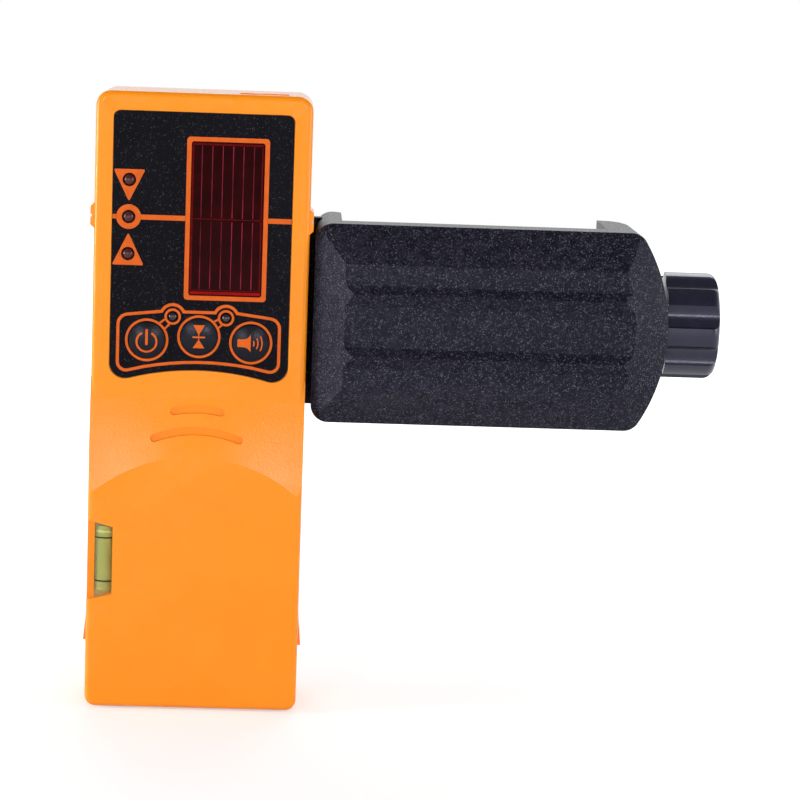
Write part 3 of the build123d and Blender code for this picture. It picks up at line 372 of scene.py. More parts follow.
FINISH = {
    orange: ("front_shell", "rear_shell", "battery_door"),
    rubber: ("case_seal", "fixed_jaw_pad", "moving_jaw_pad"),
    panel: ("panel_overlay",),
    window_red: ("sensor_window",),
    component: ("photodiodes", "key_switches", "beeper", "battery_snap"),
    board_green: ("main_board",),
    steel: ("board_screws", "case_screws", "screw_clip", "lock_clip", "clamp_screw", "lock_stud"),
    light_lens: ("light_high", "light_on_grade", "light_low"),
    status_lens: ("status_light_power", "status_light_accuracy"),
    key_rubber: ("power_key", "accuracy_key", "sound_key"),
    vial_clear: ("vial_tube",),
    vial_green: ("vial_fluid",),
    battery_case: ("battery",),
    brass: ("thread_insert", "clamp_nut"),
    black: ("clamp_frame", "clamp_cover", "moving_jaw"),
    knob_black: ("clamp_knob", "lock_knob", "jaw_glide"),
}
for finish, names in FINISH.items():
    for name in names:
        mesh = nodes[name].data
        mesh.materials.clear()
        mesh.materials.append(finish)


# Moulded edges, slightly rounded: width in millimetres and least angle in degrees

EDGES = {
    "clamp_knob": (0.55, 30),
    "lock_knob": (0.3, 30),
    "clamp_cover": (0.4, 15),
    "clamp_frame": (0.3, 30),
}
for name, (width, least_angle) in EDGES.items():
    bevel = nodes[name].modifiers.new("moulded_edge", "BEVEL")
    bevel.width = width * MM
    bevel.segments = 2
    bevel.limit_method = "ANGLE"
    bevel.angle_limit = math.radians(least_angle)


# Flat outlines, drawn in X and Z, in millimetres. A figure is a list of outlines: a border and its holes

CIRCLE_CORNERS = 48
CORNER_STEPS = 6
SHARPEST = 0.4  # bounds how far a sharp corner moves out when a line is offset


def arc(cx, cz, radius, start, end, step=6.0):
    """Points along an arc, angles in degrees from +X towards +Z."""
    count = max(2, int(abs(end - start) / step) + 1)
    angles = [math.radians(start + (end - start) * i / (count - 1)) for i in range(count)]
    return [(cx + radius * math.cos(a), cz + radius * math.sin(a)) for a in angles]


def circle(cx, cz, radius):
    angles = [2 * math.pi * i / CIRCLE_CORNERS for i in range(CIRCLE_CORNERS)]
    return [(cx + radius * math.cos(a), cz + radius * math.sin(a)) for a in angles]


def rounded(points):
    """Closed outline of (x, z, radius) corners, each corner rounded to its radius."""
    result = []
    count = len(points)
    for i, (x, z, radius) in enumerate(points):
        if radius == 0:
            result.append((x, z))
            continue
        here = Vector((x, z))
        before = (Vector(points[i - 1][:2]) - here).normalized()
        after = (Vector(points[(i + 1) % count][:2]) - here).normalized()
        half = before.angle(after) / 2
        back = radius / math.tan(half)
        first = here + before * back
        last = here + after * back
        centre = here + (before + after).normalized() * (radius / math.sin(half))
        start = first - centre
        turn = start.angle_signed(last - centre)
        for k in range(CORNER_STEPS + 1):
            spoke = start.copy()
            spoke.rotate(Matrix.Rotation(-turn * k / CORNER_STEPS, 2))
            result.append(tuple(centre + spoke))
    return result


def annulus(cx, cz, outer, inner):
    """Figure of a ring."""
    return [circle(cx, cz, outer), circle(cx, cz, inner)]


def rectangle(x0, x1, z0, z1, radius=0):
    return rounded([(x0, z0, radius), (x1, z0, radius), (x1, z1, radius), (x0, z1, radius)])


def offset(points, distance, closed):
    """Points moved sideways by distance, to the left of the way they run."""
    moved = []
    count = len(points)
    for i, point in enumerate(points):
        here = Vector(point)
        before = Vector(points[i - 1]) if closed or i > 0 else None
        after = Vector(points[(i + 1) % count]) if closed or i < count - 1 else None
        sides = []
        for start, end in ((before, here), (here, after)):
            if start is not None and end is not None and (end - start).length > 1e-9:
                run = (end - start).normalized()
                sides.append(Vector((-run.y, run.x)))
        normal = sum(sides, Vector((0, 0))).normalized()
        moved.append(tuple(here + normal * (distance / max(SHARPEST, normal.dot(sides[0])))))
    return moved


def stroke(points, width):
    """Figure of an open line of the given width."""
    left = offset(points, width / 2, False)
    right = offset(points, -width / 2, False)
    return [left + right[::-1]]


def loop(points, width):
    """Figure of a closed line of the given width."""
    return [offset(points, width / 2, True), offset(points, -width / 2, True)]


def strip(x0, x1, z, width):
    """Figure of a level line."""
    return [rectangle(x0, x1, z - width / 2, z + width / 2)]


def upright(x, width, z0, z1):
    """Figure of an upright line."""
    return [rectangle(x - width / 2, x + width / 2, z0, z1)]


# Meshes, drawn in millimetres

SPLITS = 5  # rounds of splitting the edges of a sheet that are over the longest one allowed


def box_mm(name):
    low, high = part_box(name)
    return low / MM, high / MM


def middle(name):
    """Middle of a node in X and Z."""
    low, high = box_mm(name)
    return (low.x + high.x) / 2, (low.z + high.z) / 2


def add(name, mesh, material, body):
    """New piece that rides on a body."""
    made = bpy.data.objects.new(name, mesh)
    scene.collection.objects.link(made)
    mesh.materials.clear()
    mesh.materials.append(material)
    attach(made, body)
    return made


def finished(shape, name):
    """Mesh in metres of a shape, with its faces turned outwards."""
    bmesh.ops.recalc_face_normals(shape, faces=shape.faces)
    shape.transform(Matrix.Scale(MM, 4))
    mesh = bpy.data.meshes.new(name)
    shape.to_mesh(mesh)
    shape.free()
    return mesh


def smooth(made, crease=35.0):
    """Smooth shading, with edges sharper than the crease in degrees kept."""
    made.data.polygons.foreach_set("use_smooth", [True] * len(made.data.polygons))
    made.data.set_sharp_from_angle(angle=math.radians(crease))


def fill(shape, rings):
    """Triangles inside the first ring of corners and outside the others."""
    corners = [corner for ring in rings for corner in ring]
    flat = [[corner.co.xzy for corner in ring] for ring in rings]
    for a, b, c in tessellate_polygon(flat):
        if len({a, b, c}) == 3:
            shape.faces.new((corners[a], corners[b], corners[c]))


def sheet(figures, surface, thick, longest=None):
    """Thin closed mesh of figures laid on a surface y = surface(x, z)."""
    shape = bmesh.new()
    for outlines in figures:
        fill(shape, [[shape.verts.new((x, 0, z)) for x, z in outline] for outline in outlines])
    bmesh.ops.remove_doubles(shape, verts=shape.verts, dist=1e-5)
    for _ in range(SPLITS if longest else 0):
        long_edges = [edge for edge in shape.edges if edge.calc_length() > longest]
        if long_edges:
            bmesh.ops.subdivide_edges(shape, edges=long_edges, cuts=1)
            bmesh.ops.triangulate(shape, faces=shape.faces)
    for vert in shape.verts:
        vert.co.y = surface(vert.co.x, vert.co.z)
    for face in shape.faces:
        face.normal_update()
        if face.normal.y > 0:
            face.normal_flip()
    front = bmesh.ops.extrude_face_region(shape, geom=shape.faces[:])
    for item in front["geom"]:
        if isinstance(item, bmesh.types.BMVert):
            item.co.y -= thick
    return finished(shape, "sheet")


def ring_corners(shape, along, radius, count, axis, centre):
    """Corners round an axis; the radius is a number or a function of the angle."""
    corners = []
    for k in range(count):
        angle = 2 * math.pi * k / count
        reach = radius(angle) if callable(radius) else radius
        u, v = reach * math.cos(angle), reach * math.sin(angle)
        spot = {"X": (along, u, v), "Y": (u, along, v), "Z": (u, v, along)}[axis]
        corners.append(shape.verts.new(Vector(spot) + Vector(centre)))
    return corners


def skin(shape, first, second):
    """Faces between two rings of as many corners."""
    count = len(first)
    for k in range(count):
        after = (k + 1) % count
        shape.faces.new((first[k], first[after], second[after], second[k]))


def turned(rows, count, axis, centre):
    """Closed turned mesh. Rows are (distance along the axis, radius)."""
    shape = bmesh.new()
    rings = [ring_corners(shape, along, radius, count, axis, centre) for along, radius in rows]
    for first, second in zip(rings, rings[1:]):
        skin(shape, first, second)
    shape.faces.new(rings[0][::-1])
    shape.faces.new(rings[-1])
    return finished(shape, "turned")


# Print on the panel

INK, SINK = 0.03, 0.01  # how far ink stands over its ground, and how deep it is set in
JOIN = 0.1  # how far printed lines run into each other
LIGHT_HOLE = 1.72  # radius left free round a grade light

panel_low, panel_high = box_mm("panel_overlay")
window_low, window_high = box_mm("sensor_window")
WINDOW_FLANGE = 1.8  # edge of the window that lies behind the front wall, round the visible pane
pane_left, pane_right = window_low.x + WINDOW_FLANGE, window_high.x - WINDOW_FLANGE
pane_low, pane_high = window_low.z + WINDOW_FLANGE, window_high.z - WINDOW_FLANGE
_, zero_z = middle("sensor_window")
mark_x, _ = middle("light_on_grade")


def flat_at(y):
    """Flat surface, a little behind y."""
    return lambda x, z: y + SINK


def printed(name, figures):
    mesh = sheet(figures, flat_at(panel_low.y), INK + SINK)
    add(name, mesh, print_ink, "housing")


def round_pane(distance, radius):
    """Outline round the window's pane."""
    return rectangle(pane_left - distance, pane_right + distance,
                     pane_low - distance, pane_high + distance, radius)


WINDOW_LINE, WINDOW_LINE_ROUND = 1.25, 0.9
WINDOW_GAP, WINDOW_GAP_ROUND = 0.1, 0.65
window_frame = [round_pane(WINDOW_LINE, WINDOW_LINE_ROUND), round_pane(WINDOW_GAP, WINDOW_GAP_ROUND)]
printed("print_window_frame", [window_frame])

ZERO_RING, ZERO_LINE, ZERO_LINE_LEFT = 3.15, 1.3, 1.15
PANEL_MARGIN = 0.05
printed("print_zero_line", [
    strip(panel_low.x + PANEL_MARGIN, mark_x - ZERO_RING + JOIN, zero_z, ZERO_LINE_LEFT),
    strip(mark_x + ZERO_RING - JOIN, pane_left - WINDOW_LINE + JOIN, zero_z, ZERO_LINE),
    strip(pane_right + WINDOW_LINE - JOIN, panel_high.x - PANEL_MARGIN, zero_z, ZERO_LINE),
    annulus(mark_x, zero_z, ZERO_RING, LIGHT_HOLE),
])

ARROW_HALF, BASE_ROUND, TIP_ROUND = 4.05, 0.3, 0.25
ARROWS = {"high": (12.1, 3.85), "low": (-12.35, -4.05)}  # base and tip, over the zero line
for name, (base, tip) in ARROWS.items():
    _, light_z = middle("light_" + name)
    arrow = rounded([(mark_x - ARROW_HALF, zero_z + base, BASE_ROUND),
                     (mark_x + ARROW_HALF, zero_z + base, BASE_ROUND),
                     (mark_x, zero_z + tip, TIP_ROUND)])
    printed("print_" + name + "_arrow", [[arrow, circle(mark_x, light_z, LIGHT_HOLE)]])

KEY_RING, KEY_RING_INSIDE = 5.55, 4.92
keys = {name: middle(name) for name in ("power_key", "accuracy_key", "sound_key")}
for name, (x, z) in keys.items():
    printed("print_ring_" + name, [annulus(x, z, KEY_RING, KEY_RING_INSIDE)])

STATUS_RING, STATUS_RING_INSIDE = 2.1, 1.5
LINK_LINE, LINK_HALF, LINK_SPLAY = 0.52, 0.85, 1.15
STATUS_JOIN = 0.15
lights = [middle("status_light_power"), middle("status_light_accuracy")]
status_figures = []
for light_at, key_name in zip(lights, ("power_key", "accuracy_key")):
    status_figures.append(annulus(*light_at, STATUS_RING, STATUS_RING_INSIDE))
    light, key = Vector(light_at), Vector(keys[key_name])
    along = (key - light).normalized()
    across = Vector((-along.y, along.x))
    start = light + along * (STATUS_RING - STATUS_JOIN)
    end = key - along * (KEY_RING - JOIN)
    for shift in (-LINK_HALF, LINK_HALF):
        ends = [tuple(start + across * shift), tuple(end + across * shift * LINK_SPLAY)]
        status_figures.append(stroke(ends, LINK_LINE))
printed("print_status_rings", status_figures)


# Printed outline round the keys: an arched foot, and a bow over each status light

OUTLINE, LEFT_MARGIN, RIGHT_MARGIN = 0.78, 2.0, 2.35
OUTLINE_LEFT, OUTLINE_RIGHT = panel_low.x + LEFT_MARGIN, panel_high.x - RIGHT_MARGIN
HEAD_LEFT, HEAD_RIGHT = 0.75, 0.6  # heights of the upper corners
HEAD_ROUND, FOOT_ROUND = 2.6, 2.2
FOOT = ((OUTLINE_RIGHT, -13.47), (-37.0, -10.95), (OUTLINE_LEFT, -14.08))
FOOT_PARTS = 12
BOW_RADIUS, BOW_START, BOW_END, BOW_STEP = 3.1, 155, 25, 8.0


def foot_z(x):
    """Height at x of the parabola through the three points of the foot."""
    total = 0.0
    for i, (xi, zi) in enumerate(FOOT):
        share = zi
        for j, (xj, _) in enumerate(FOOT):
            if i != j:
                share *= (x - xj) / (xi - xj)
        total += share
    return total


path = [(OUTLINE_LEFT, foot_z(OUTLINE_LEFT), FOOT_ROUND), (OUTLINE_LEFT, HEAD_LEFT, HEAD_ROUND)]
for light_x, light_z in lights:
    path += [(x, z, 0) for x, z in arc(light_x, light_z, BOW_RADIUS, BOW_START, BOW_END, BOW_STEP)]
path += [(OUTLINE_RIGHT, HEAD_RIGHT, HEAD_ROUND), (OUTLINE_RIGHT, foot_z(OUTLINE_RIGHT), FOOT_ROUND)]
for i in range(2, FOOT_PARTS - 1):
    x = OUTLINE_RIGHT + (OUTLINE_LEFT - OUTLINE_RIGHT) * i / FOOT_PARTS
    path.append((x, foot_z(x), 0))
printed("print_control_outline", [loop(rounded(path), OUTLINE)])


# Signs on the keys, laid on their domes

KEY_R, KEY_DOME = 4.6, 0.7
DOME_R = (KEY_R**2 + KEY_DOME**2) / (2 * KEY_DOME)
SIGN_EDGE = 0.6  # longest edge of a sign's mesh, short enough to follow the dome


def power_sign():
    """Open ring with a bar in its gap."""
    ring_z, ring_radius, ring_line = -0.4, 2.55, 0.5
    ring_start, ring_end, ring_step = 118, 422, 7.0
    bar_top, bar_foot, bar_line = 2.85, -1.2, 0.64
    ring = stroke(arc(0, ring_z, ring_radius, ring_start, ring_end, ring_step), ring_line)
    bar = stroke([(0, bar_top), (0, bar_foot)], bar_line)
    return [ring, bar]


def accuracy_sign():
    """Two pointers that meet at a level line."""
    half, stem, neck, tip = 1.5, 0.12, 0.75, 0.2
    level_half, level_line = 1.6, 0.42
    figures = []
    for base, side in ((3.1, 1), (-2.85, -1)):
        head = [(-half, base), (half, base)]
        point = [(stem, side * neck), (stem, side * tip), (-stem, side * tip), (-stem, side * neck)]
        figures.append([head + point])
    return figures + [stroke([(-level_half, 0), (level_half, 0)], level_line)]


def sound_sign():
    """Loudspeaker with three waves."""
    back, throat, half = -3.4, -1.95, 1.0
    bell = [(throat, half), (-1.3, 1.12), (-0.7, 1.45), (-0.25, 1.9), (0.0, 2.35)]
    bell_below = [(x, -z) for x, z in reversed(bell)]
    figures = [
        [[(back, half), (throat, half), (throat, -half), (back, -half)]],
        [bell + bell_below],
    ]
    for x, radius, angle, line in ((-0.9, 1.75, 24, 0.32), (-1.1, 2.95, 28, 0.34), (-1.3, 4.2, 27, 0.34)):
        figures.append(stroke(arc(x, 0, radius, -angle, angle), line))
    return figures


def key_sign(name, body, figures):
    cx, cz = keys[name]
    tip = box_mm(name)[0].y

    def dome(x, z):
        return tip + DOME_R - math.sqrt(DOME_R**2 - (x - cx) ** 2 - (z - cz) ** 2) + SINK

    moved = [[[(cx + x, cz + z) for x, z in outline] for outline in outlines] for outlines in figures]
    add("sign_" + name, sheet(moved, dome, INK + SINK, SIGN_EDGE), print_ink, body)


key_sign("power_key", "key_power", power_sign())
key_sign("accuracy_key", "key_accuracy", accuracy_sign())
key_sign("sound_key", "key_sound", sound_sign())


# Lines of the sensor array, seen in the red filter

ARRAY_GLOSS = {"roughness": (0.10, 0.16), "Specular_IOR_Level": 0.04}
array_line = tinted("array_line", (0.070, 0.004, 0.011), (0.300, 0.020, 0.046), 7.0, **ARRAY_GLOSS)
array_glow = tinted("array_glow", (0.075, 0.0018, 0.0026), (0.135, 0.0032, 0.0044), 1.2, **ARRAY_GLOSS)
array_bright = tinted("array_bright", (0.21, 0.0020, 0.0024), (0.36, 0.0040, 0.0036), 4.0, **ARRAY_GLOSS)


def lined(name, figures, material):
    mesh = sheet(figures, flat_at(window_low.y), INK)
    add(name, mesh, material, "housing")


PANE_MARGIN = 0.25
inside_left, inside_right = pane_left + PANE_MARGIN, pane_right - PANE_MARGIN
inside_low, inside_high = pane_low + PANE_MARGIN, pane_high - PANE_MARGIN

COLUMNS, COLUMN_LINE = 7, 0.24
COLUMN_HEAD, COLUMN_FOOT = 0.7, 1.5  # left free at the ends of a column line
ABOVE_ZERO, BELOW_ZERO = 0.4, 0.6  # left free at the zero line
pitch = (pane_right - pane_left) / COLUMNS
column_lines = []
for k in range(1, COLUMNS):
    x = pane_left + pitch * k
    column_lines.append(upright(x, COLUMN_LINE, zero_z + ABOVE_ZERO, inside_high - COLUMN_HEAD))
    column_lines.append(upright(x, COLUMN_LINE, inside_low + COLUMN_FOOT, zero_z - BELOW_ZERO))
lined("window_lines", column_lines, array_line)

CROSS_LINE, CROSS_MARGIN = 0.26, 0.4
cross_line = strip(pane_left + CROSS_MARGIN, pane_right - CROSS_MARGIN, zero_z, CROSS_LINE)
lined("window_cross_line", [cross_line], array_glow)

SIDE_HEAD, SIDE_FOOT = 0.8, 1.4
LEFT_SIDE, LEFT_SIDE_IN = 0.5, 0.34  # width, and distance of its middle from the edge of the pane
RIGHT_SIDE, RIGHT_SIDE_IN = 0.36, 0.5
side_low, side_high = inside_low + SIDE_FOOT, inside_high - SIDE_HEAD
left_side = upright(pane_left + LEFT_SIDE_IN, LEFT_SIDE, side_low, side_high)
right_side = upright(pane_right - RIGHT_SIDE_IN, RIGHT_SIDE, side_low, side_high)
lined("window_sides", [left_side, right_side], array_glow)

FOOT_LINE, FOOT_LINE_UP = 0.7, 0.4  # width, and height of its middle in the pane
FOOT_EDGE, FOOT_EDGE_UP = 0.2, 1.1
HEAD_LINE, HEAD_LINE_DOWN = 0.5, 0.3
foot_line = strip(inside_left, inside_right, inside_low + FOOT_LINE_UP, FOOT_LINE)
foot_edge = strip(inside_left, inside_right, inside_low + FOOT_EDGE_UP, FOOT_EDGE)
head_line = strip(inside_left, inside_right, inside_high - HEAD_LINE_DOWN, HEAD_LINE)
lined("window_foot", [foot_line], array_bright)
lined("window_head", [head_line, foot_edge], array_glow)


# Vial: printed rings round the tube, and the bubble

tube_low, tube_high = box_mm("vial_tube")
tube_x, tube_y = (tube_low.x + tube_high.x) / 2, (tube_low.y + tube_high.y) / 2
tube_r = (tube_high.x - tube_low.x) / 2
fluid_low, fluid_high = box_mm("vial_fluid")
fluid_r = (fluid_high.x - fluid_low.x) / 2

RING_WIDTH, RING_PROUD, RING_SUNK, RING_CORNERS = 0.34, 0.03, 0.02, 40
ring_black = tinted("vial_ring", (0.006, 0.006, 0.004), (0.012, 0.013, 0.008), 1.0, (0.30, 0.42),
                    Specular_IOR_Level=0.1)


def tube_ring(name, z):
    """Printed ring round the tube."""
    half, inner, outer = RING_WIDTH / 2, tube_r - RING_SUNK, tube_r + RING_PROUD
    shape = bmesh.new()
    rings = [ring_corners(shape, along, radius, RING_CORNERS, "Z", (tube_x, tube_y, z))
             for along, radius in ((-half, inner), (-half, outer), (half, outer), (half, inner))]
    for first, second in zip(rings, rings[1:] + rings[:1]):
        skin(shape, first, second)
    smooth(add(name, finished(shape, name), ring_black, "housing"))


RING_FROM_TOP, RING_FROM_FOOT = 4.85, 4.7
tube_ring("vial_ring_upper", tube_high.z - RING_FROM_TOP)
tube_ring("vial_ring_lower", tube_low.z + RING_FROM_FOOT)

BUBBLE_LENGTH, BUBBLE_FROM_TOP, BUBBLE_OVER = 2.6, 0.15, 0.06
BUBBLE_PARTS, BUBBLE_CORNERS, BUBBLE_CREASE = 16, 28, 60.0
BUBBLE_END, BUBBLE_BLUNT = 0.02, 0.45  # share cut off at each end; the smaller the power, the blunter
bubble_clear = tinted("vial_bubble", (0.30, 0.36, 0.15), (0.46, 0.52, 0.28), 0.8, (0.04, 0.08),
                      Coat_Weight=0.8)
bubble_rows = []
for k in range(BUBBLE_PARTS + 1):
    share = k / BUBBLE_PARTS
    swell = math.sin(math.pi * (BUBBLE_END + (1 - 2 * BUBBLE_END) * share)) ** BUBBLE_BLUNT
    z = fluid_high.z - BUBBLE_FROM_TOP - BUBBLE_LENGTH * (1 - share)
    bubble_rows.append((z, (fluid_r + BUBBLE_OVER) * swell))
bubble_mesh = turned(bubble_rows, BUBBLE_CORNERS, "Z", (tube_x, tube_y, 0))
smooth(add("vial_bubble", bubble_mesh, bubble_clear, "housing"), BUBBLE_CREASE)


# Threads of the clamp screw and the lock stud

THREAD_CREASE = 40.0


def threaded(start, end, step, run_out, major, depth, lead, starts, crest):
    """Rows of a threaded length whose thread fades out over run_out at both ends."""
    def row(along):
        ease = min(1.0, (along - start) / run_out, (end - along) / run_out)

        def radius(angle):
            turn = (along / lead - angle / (2 * math.pi)) * starts
            phase = abs((turn % 1.0) - 0.5) * 2.0
            fall = min(1.0, max(0.0, (phase - crest) / (1.0 - 2 * crest)))
            return major - depth * fall * ease

        return along, radius

    count = round((end - start) / step)
    return [row(start + (end - start) * i / count) for i in range(count + 1)]


SCREW_R, JOURNAL_R, GROOVE_R = 4.0, 3.0, 2.4
TIP_CHAMFER, SHOULDER_CHAMFER = 0.35, 0.3
SLACK = 0.05  # clear space at clips and shoulders
PLAIN_START, PLAIN_END, THREAD_GAP = 1.5, 8.9, 0.1
screw_low, screw_high = box_mm("clamp_screw")
clip_low, clip_high = box_mm("screw_clip")
groove_start, groove_end = clip_low.x - SLACK, clip_high.x + SLACK
shoulder = box_mm("moving_jaw")[1].x + SLACK
plain_from, plain_to = shoulder + PLAIN_START, screw_high.x - PLAIN_END
screw_y = (screw_low.y + screw_high.y) / 2
rows = [
    (screw_low.x, JOURNAL_R - TIP_CHAMFER), (screw_low.x + TIP_CHAMFER, JOURNAL_R),
    (groove_start, JOURNAL_R), (groove_start, GROOVE_R), (groove_end, GROOVE_R), (groove_end, JOURNAL_R),
    (shoulder, JOURNAL_R), (shoulder, SCREW_R - SHOULDER_CHAMFER), (shoulder + SHOULDER_CHAMFER, SCREW_R),
    (plain_from, SCREW_R),
]
rows += threaded(plain_from + THREAD_GAP, plain_to - THREAD_GAP, step=0.25, run_out=1.2,
                 major=SCREW_R, depth=0.85, lead=4.0, starts=2, crest=0.22)
rows += [(plain_to, SCREW_R), (screw_high.x, SCREW_R)]
screw_mesh = turned(rows, count=36, axis="X", centre=(0, screw_y, 0))
screw = add("clamp_screw_threaded", screw_mesh, steel, "knob")
smooth(screw, THREAD_CREASE)
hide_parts("clamp_screw")

STUD_R, STUD_GROOVE = 3.175, 0.5
POINT_LENGTH, POINT_START, POINT_END = 0.5, 0.6, 0.15
GROOVE_EDGE, PLAIN_AT_CLIP = 0.06, 1.2
stud_low, stud_high = box_mm("lock_stud")
ring_low, ring_high = box_mm("lock_clip")
stud_x, stud_z = middle("lock_stud")
rows = [(stud_low.y, STUD_R - POINT_START), (stud_low.y + POINT_LENGTH, STUD_R - POINT_END)]
rows += threaded(stud_low.y + POINT_LENGTH + THREAD_GAP, ring_low.y - PLAIN_AT_CLIP, step=0.16, run_out=0.8,
                 major=STUD_R, depth=0.55, lead=1.27, starts=1, crest=0.15)
rows += [
    (ring_low.y - GROOVE_EDGE, STUD_R), (ring_low.y - SLACK, STUD_R - STUD_GROOVE),
    (ring_high.y + SLACK, STUD_R - STUD_GROOVE), (ring_high.y + GROOVE_EDGE, STUD_R), (stud_high.y, STUD_R),
]
stud_mesh = turned(rows, count=32, axis="Y", centre=(stud_x, 0, stud_z))
stud = add("lock_stud_threaded", stud_mesh, steel, "lock_hand_screw")
smooth(stud, THREAD_CREASE)
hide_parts("lock_stud")


# Case screws with cross recesses

HEAD_R, HEAD_HEIGHT = 2.6, 2.0
HEAD_ROUNDING = ((0.5, 0.0), (0.12, 0.25), (0.0, 0.6))  # below the top, and in from the head's radius
SHANK_R, TIP_LENGTH, TIP_TAPER = 1.45, 0.8, 0.5
RECESS, RECESS_TAPER = 1.1, 0.75
ARM, SPAN = 0.42, 1.45  # half of a cross arm's width, and its reach
SCREW_CORNERS = 28
FIRST_TURN, COLUMN_TURN, TURN_PER_MM = 0.5, 0.9, 0.07  # each screw stops at an angle of its own, in radians
head_low, head_high = box_mm("case_screws")


def cross(cx, cz, turn):
    """Outline of a cross recess, turned by an angle in radians."""
    arm = [(ARM, ARM), (SPAN, ARM), (SPAN, -ARM)]
    points = []
    for _ in range(4):
        points += arm
        arm = [(z, -x) for x, z in arm]
    c, s = math.cos(turn), math.sin(turn)
    return [(cx + x * c - z * s, cz + x * s + z * c) for x, z in points]


def cross_screw(shape, cx, cz, turn):
    """One screw from its tip at the front to its recessed head at the back."""
    top = head_high.y
    seat = top - HEAD_HEIGHT
    rows = [
        (head_low.y, SHANK_R - TIP_TAPER), (head_low.y + TIP_LENGTH, SHANK_R),
        (seat, SHANK_R), (seat, HEAD_R),
    ]
    rows += [(top - down, HEAD_R - inwards) for down, inwards in HEAD_ROUNDING]
    rings = [ring_corners(shape, y, radius, SCREW_CORNERS, "Y", (cx, 0, cz)) for y, radius in rows]
    for first, second in zip(rings, rings[1:]):
        skin(shape, first, second)
    shape.faces.new(rings[0])
    outline = cross(cx, cz, turn)
    rim = [shape.verts.new((x, top, z)) for x, z in outline]
    bottom = [shape.verts.new((cx + RECESS_TAPER * (x - cx), top - RECESS, cz + RECESS_TAPER * (z - cz)))
              for x, z in outline]
    fill(shape, [rings[-1], rim])
    skin(shape, rim, bottom)
    shape.faces.new(bottom)


shape = bmesh.new()
for column, cx in enumerate((head_low.x + HEAD_R, head_high.x - HEAD_R)):
    for cz in (head_low.z + HEAD_R, head_high.z - HEAD_R):
        cross_screw(shape, cx, cz, FIRST_TURN + COLUMN_TURN * column + TURN_PER_MM * cz)
fasteners = add("case_screws_cross", finished(shape, "case_screws_cross"), steel, "housing")
smooth(fasteners)
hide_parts("case_screws")


# Floor and world

FLOOR_REACH, FLOOR_GAP = 1.3, 0.0001
FLOOR_CORNERS = ((-1, -1), (1, -1), (1, 1), (-1, 1))
FLOOR_GLOW = ((0.12, 0.44), (0.45, 0.70), (0.80, 0.86), (1.25, 0.98))  # distance in metres, and brightness of the painted glow
WHITE = (1, 1, 1, 1)
FLOOR_GREY = (0.80, 0.80, 0.80, 1)
SOFT_LIGHT = 0.30
UPPER_BACKDROP, BACKDROP_FADE = 0.25, (0.20, 0.60)


def white_rays(tree):
    """1 for camera, mirror and glass rays, which see the plain white background."""
    rays = node(tree, "ShaderNodeLightPath").outputs
    seen = greater(tree, rays["Is Camera Ray"], rays["Is Glossy Ray"])
    return greater(tree, seen, rays["Is Transmission Ray"])


def floor_material():
    """Matt floor with a painted glow for camera, mirror and glass rays: weaker near the object, so the
    floor is painted greyer round it, and fading into the white background away from the object.
    """
    material = bpy.data.materials.new("floor_paint")
    material.use_nodes = True
    tree = material.node_tree
    tree.nodes.clear()
    away = node(tree, "ShaderNodeVectorMath", operation="LENGTH")
    tree.links.new(place(tree), away.inputs[0])
    share = spread(tree, away.outputs["Value"], 0.0, 1.0, 0.0, FLOOR_REACH)
    glow = node(tree, "ShaderNodeEmission", Color=WHITE)
    stops = [(distance / FLOOR_REACH, (grey, grey, grey)) for distance, grey in FLOOR_GLOW]
    tree.links.new(ramp(tree, share, *stops), glow.inputs["Strength"])
    matt = node(tree, "ShaderNodeBsdfDiffuse", Color=FLOOR_GREY).outputs[0]
    both = fed(tree, "ShaderNodeAddShader", matt, glow.outputs[0])
    surface = fed(tree, "ShaderNodeMixShader", white_rays(tree), matt, both)
    tree.links.new(surface, node(tree, "ShaderNodeOutputMaterial").inputs["Surface"])
    return material


def studio():
    """World of soft light with a white background, which glossy surfaces show darker higher up."""
    world = bpy.data.worlds.new("studio")
    world.use_nodes = True
    tree = world.node_tree
    tree.nodes.clear()
    rays = node(tree, "ShaderNodeLightPath").outputs
    direct = greater(tree, rays["Is Camera Ray"], rays["Is Transmission Ray"])
    direction = node(tree, "ShaderNodeTexCoord").outputs["Generated"]
    fade = spread(tree, height(tree, direction), 1.0, UPPER_BACKDROP, *BACKDROP_FADE)
    soft = node(tree, "ShaderNodeBackground", Color=WHITE, Strength=SOFT_LIGHT)
    plain = node(tree, "ShaderNodeBackground", Color=WHITE)
    tree.links.new(greater(tree, direct, fade), plain.inputs["Strength"])
    surface = fed(tree, "ShaderNodeMixShader", white_rays(tree), soft.outputs[0], plain.outputs[0])
    tree.links.new(surface, node(tree, "ShaderNodeOutputWorld").inputs["Surface"])
    return world


floor_z = cad_low[2] - FLOOR_GAP
floor_corners = [(x * FLOOR_REACH, y * FLOOR_REACH, floor_z) for x, y in FLOOR_CORNERS]
floor_mesh = bpy.data.meshes.new("floor")
floor_mesh.from_pydata(floor_corners, [], [(0, 1, 2, 3)])
floor_mesh.materials.append(floor_material())
floor = bpy.data.objects.new("floor", floor_mesh)
scene.collection.objects.link(floor)
scene.world = studio()


# Lamps, in metres and watts

LAMP_TARGET = (0.015, -0.01, -0.02)
PLAIN_LIGHT, COOL_LIGHT = (1, 1, 1), (0.98, 0.98, 1.0)


def lamp(name, place_at, size, watts, colour, mirrored=True):
    """Soft lamp that points at the object; mirrored says whether glossy surfaces show it."""
    data = bpy.data.lights.new(name, "AREA")
    data.shape = "RECTANGLE"
    data.size, data.size_y = size
    data.energy = watts
    data.color = colour
    made = bpy.data.objects.new(name, data)
    scene.collection.objects.link(made)
    made.location = place_at
    made.visible_glossy = mirrored
    made.rotation_euler = (Vector(LAMP_TARGET) - Vector(place_at)).to_track_quat("-Z", "Y").to_euler()


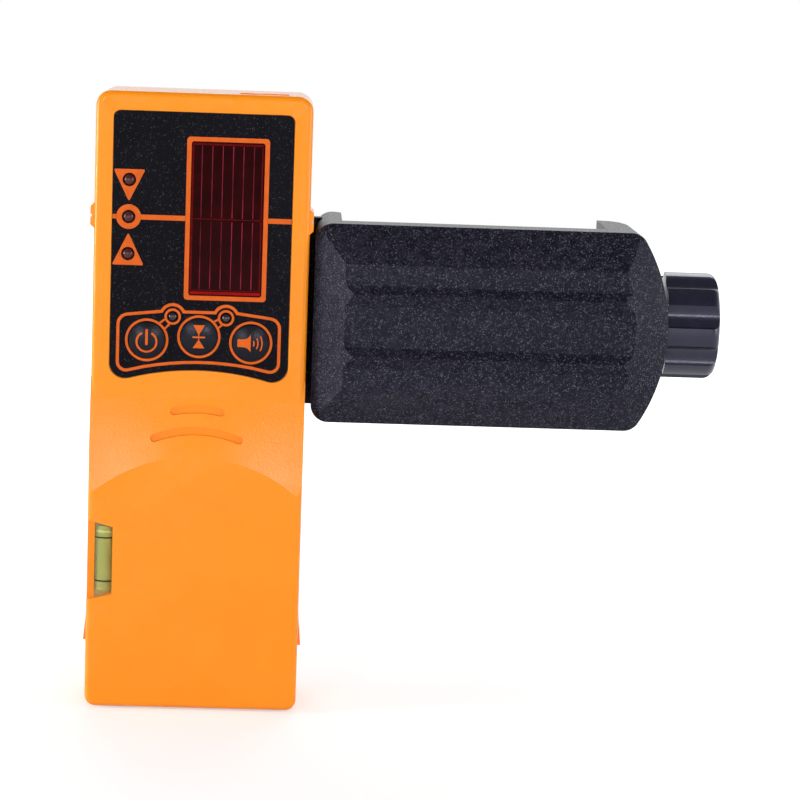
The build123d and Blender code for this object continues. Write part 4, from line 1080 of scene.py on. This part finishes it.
lamp("lamp_front_left", (-0.36, -1.08, 0.14), (0.20, 0.18), 1.5, PLAIN_LIGHT)
lamp("lamp_front_right", (0.21, -1.08, 0.14), (0.16, 0.18), 1.25, PLAIN_LIGHT)
lamp("lamp_wide_left", (-0.50, -1.02, 0.20), (0.20, 0.24), 1.35, PLAIN_LIGHT, mirrored=False)
lamp("lamp_wide_right", (0.36, -1.02, 0.20), (0.20, 0.24), 1.25, PLAIN_LIGHT, mirrored=False)
lamp("lamp_left", (-0.95, -0.24, 0.08), (0.6, 0.6), 4.4, COOL_LIGHT)
lamp("lamp_low_left", (-0.98, -0.08, 0.03), (0.4, 0.2), 3.2, COOL_LIGHT)
lamp("lamp_right", (0.92, -0.32, 0.06), (0.6, 0.6), 5.0, COOL_LIGHT)
lamp("lamp_back", (0.05, 0.80, 0.62), (0.9, 0.7), 4.6, COOL_LIGHT)


# Camera: a long lens, a little above the object, slightly turned and rolled

PHOTO_PX, FOCAL_PX = 800.0, 2722.0
SENSOR_MM = 36.0
CAMERA_PLACE = (-0.012581, -0.717654, 0.089005)
DOWN, YAW, ROLL = (math.radians(angle) for angle in (8.852, 2.297, 2.087))

ahead = Vector((math.sin(YAW) * math.cos(DOWN), math.cos(YAW) * math.cos(DOWN), -math.sin(DOWN)))
sideways = Vector((math.cos(YAW), -math.sin(YAW), 0))
upwards = sideways.cross(ahead)
camera_x = math.cos(ROLL) * sideways + math.sin(ROLL) * upwards
camera_y = -math.sin(ROLL) * sideways + math.cos(ROLL) * upwards
camera_data = bpy.data.cameras.new("camera")
camera_data.sensor_width = SENSOR_MM
camera_data.sensor_fit = "AUTO"
camera_data.lens = FOCAL_PX / PHOTO_PX * SENSOR_MM
camera_data.clip_start = 0.01
camera = bpy.data.objects.new("camera", camera_data)
scene.collection.objects.link(camera)
camera_turn = Matrix((camera_x, camera_y, -ahead)).transposed().to_4x4()
camera.matrix_world = Matrix.Translation(CAMERA_PLACE) @ camera_turn
scene.camera = camera
scene.view_settings.view_transform = "Standard"
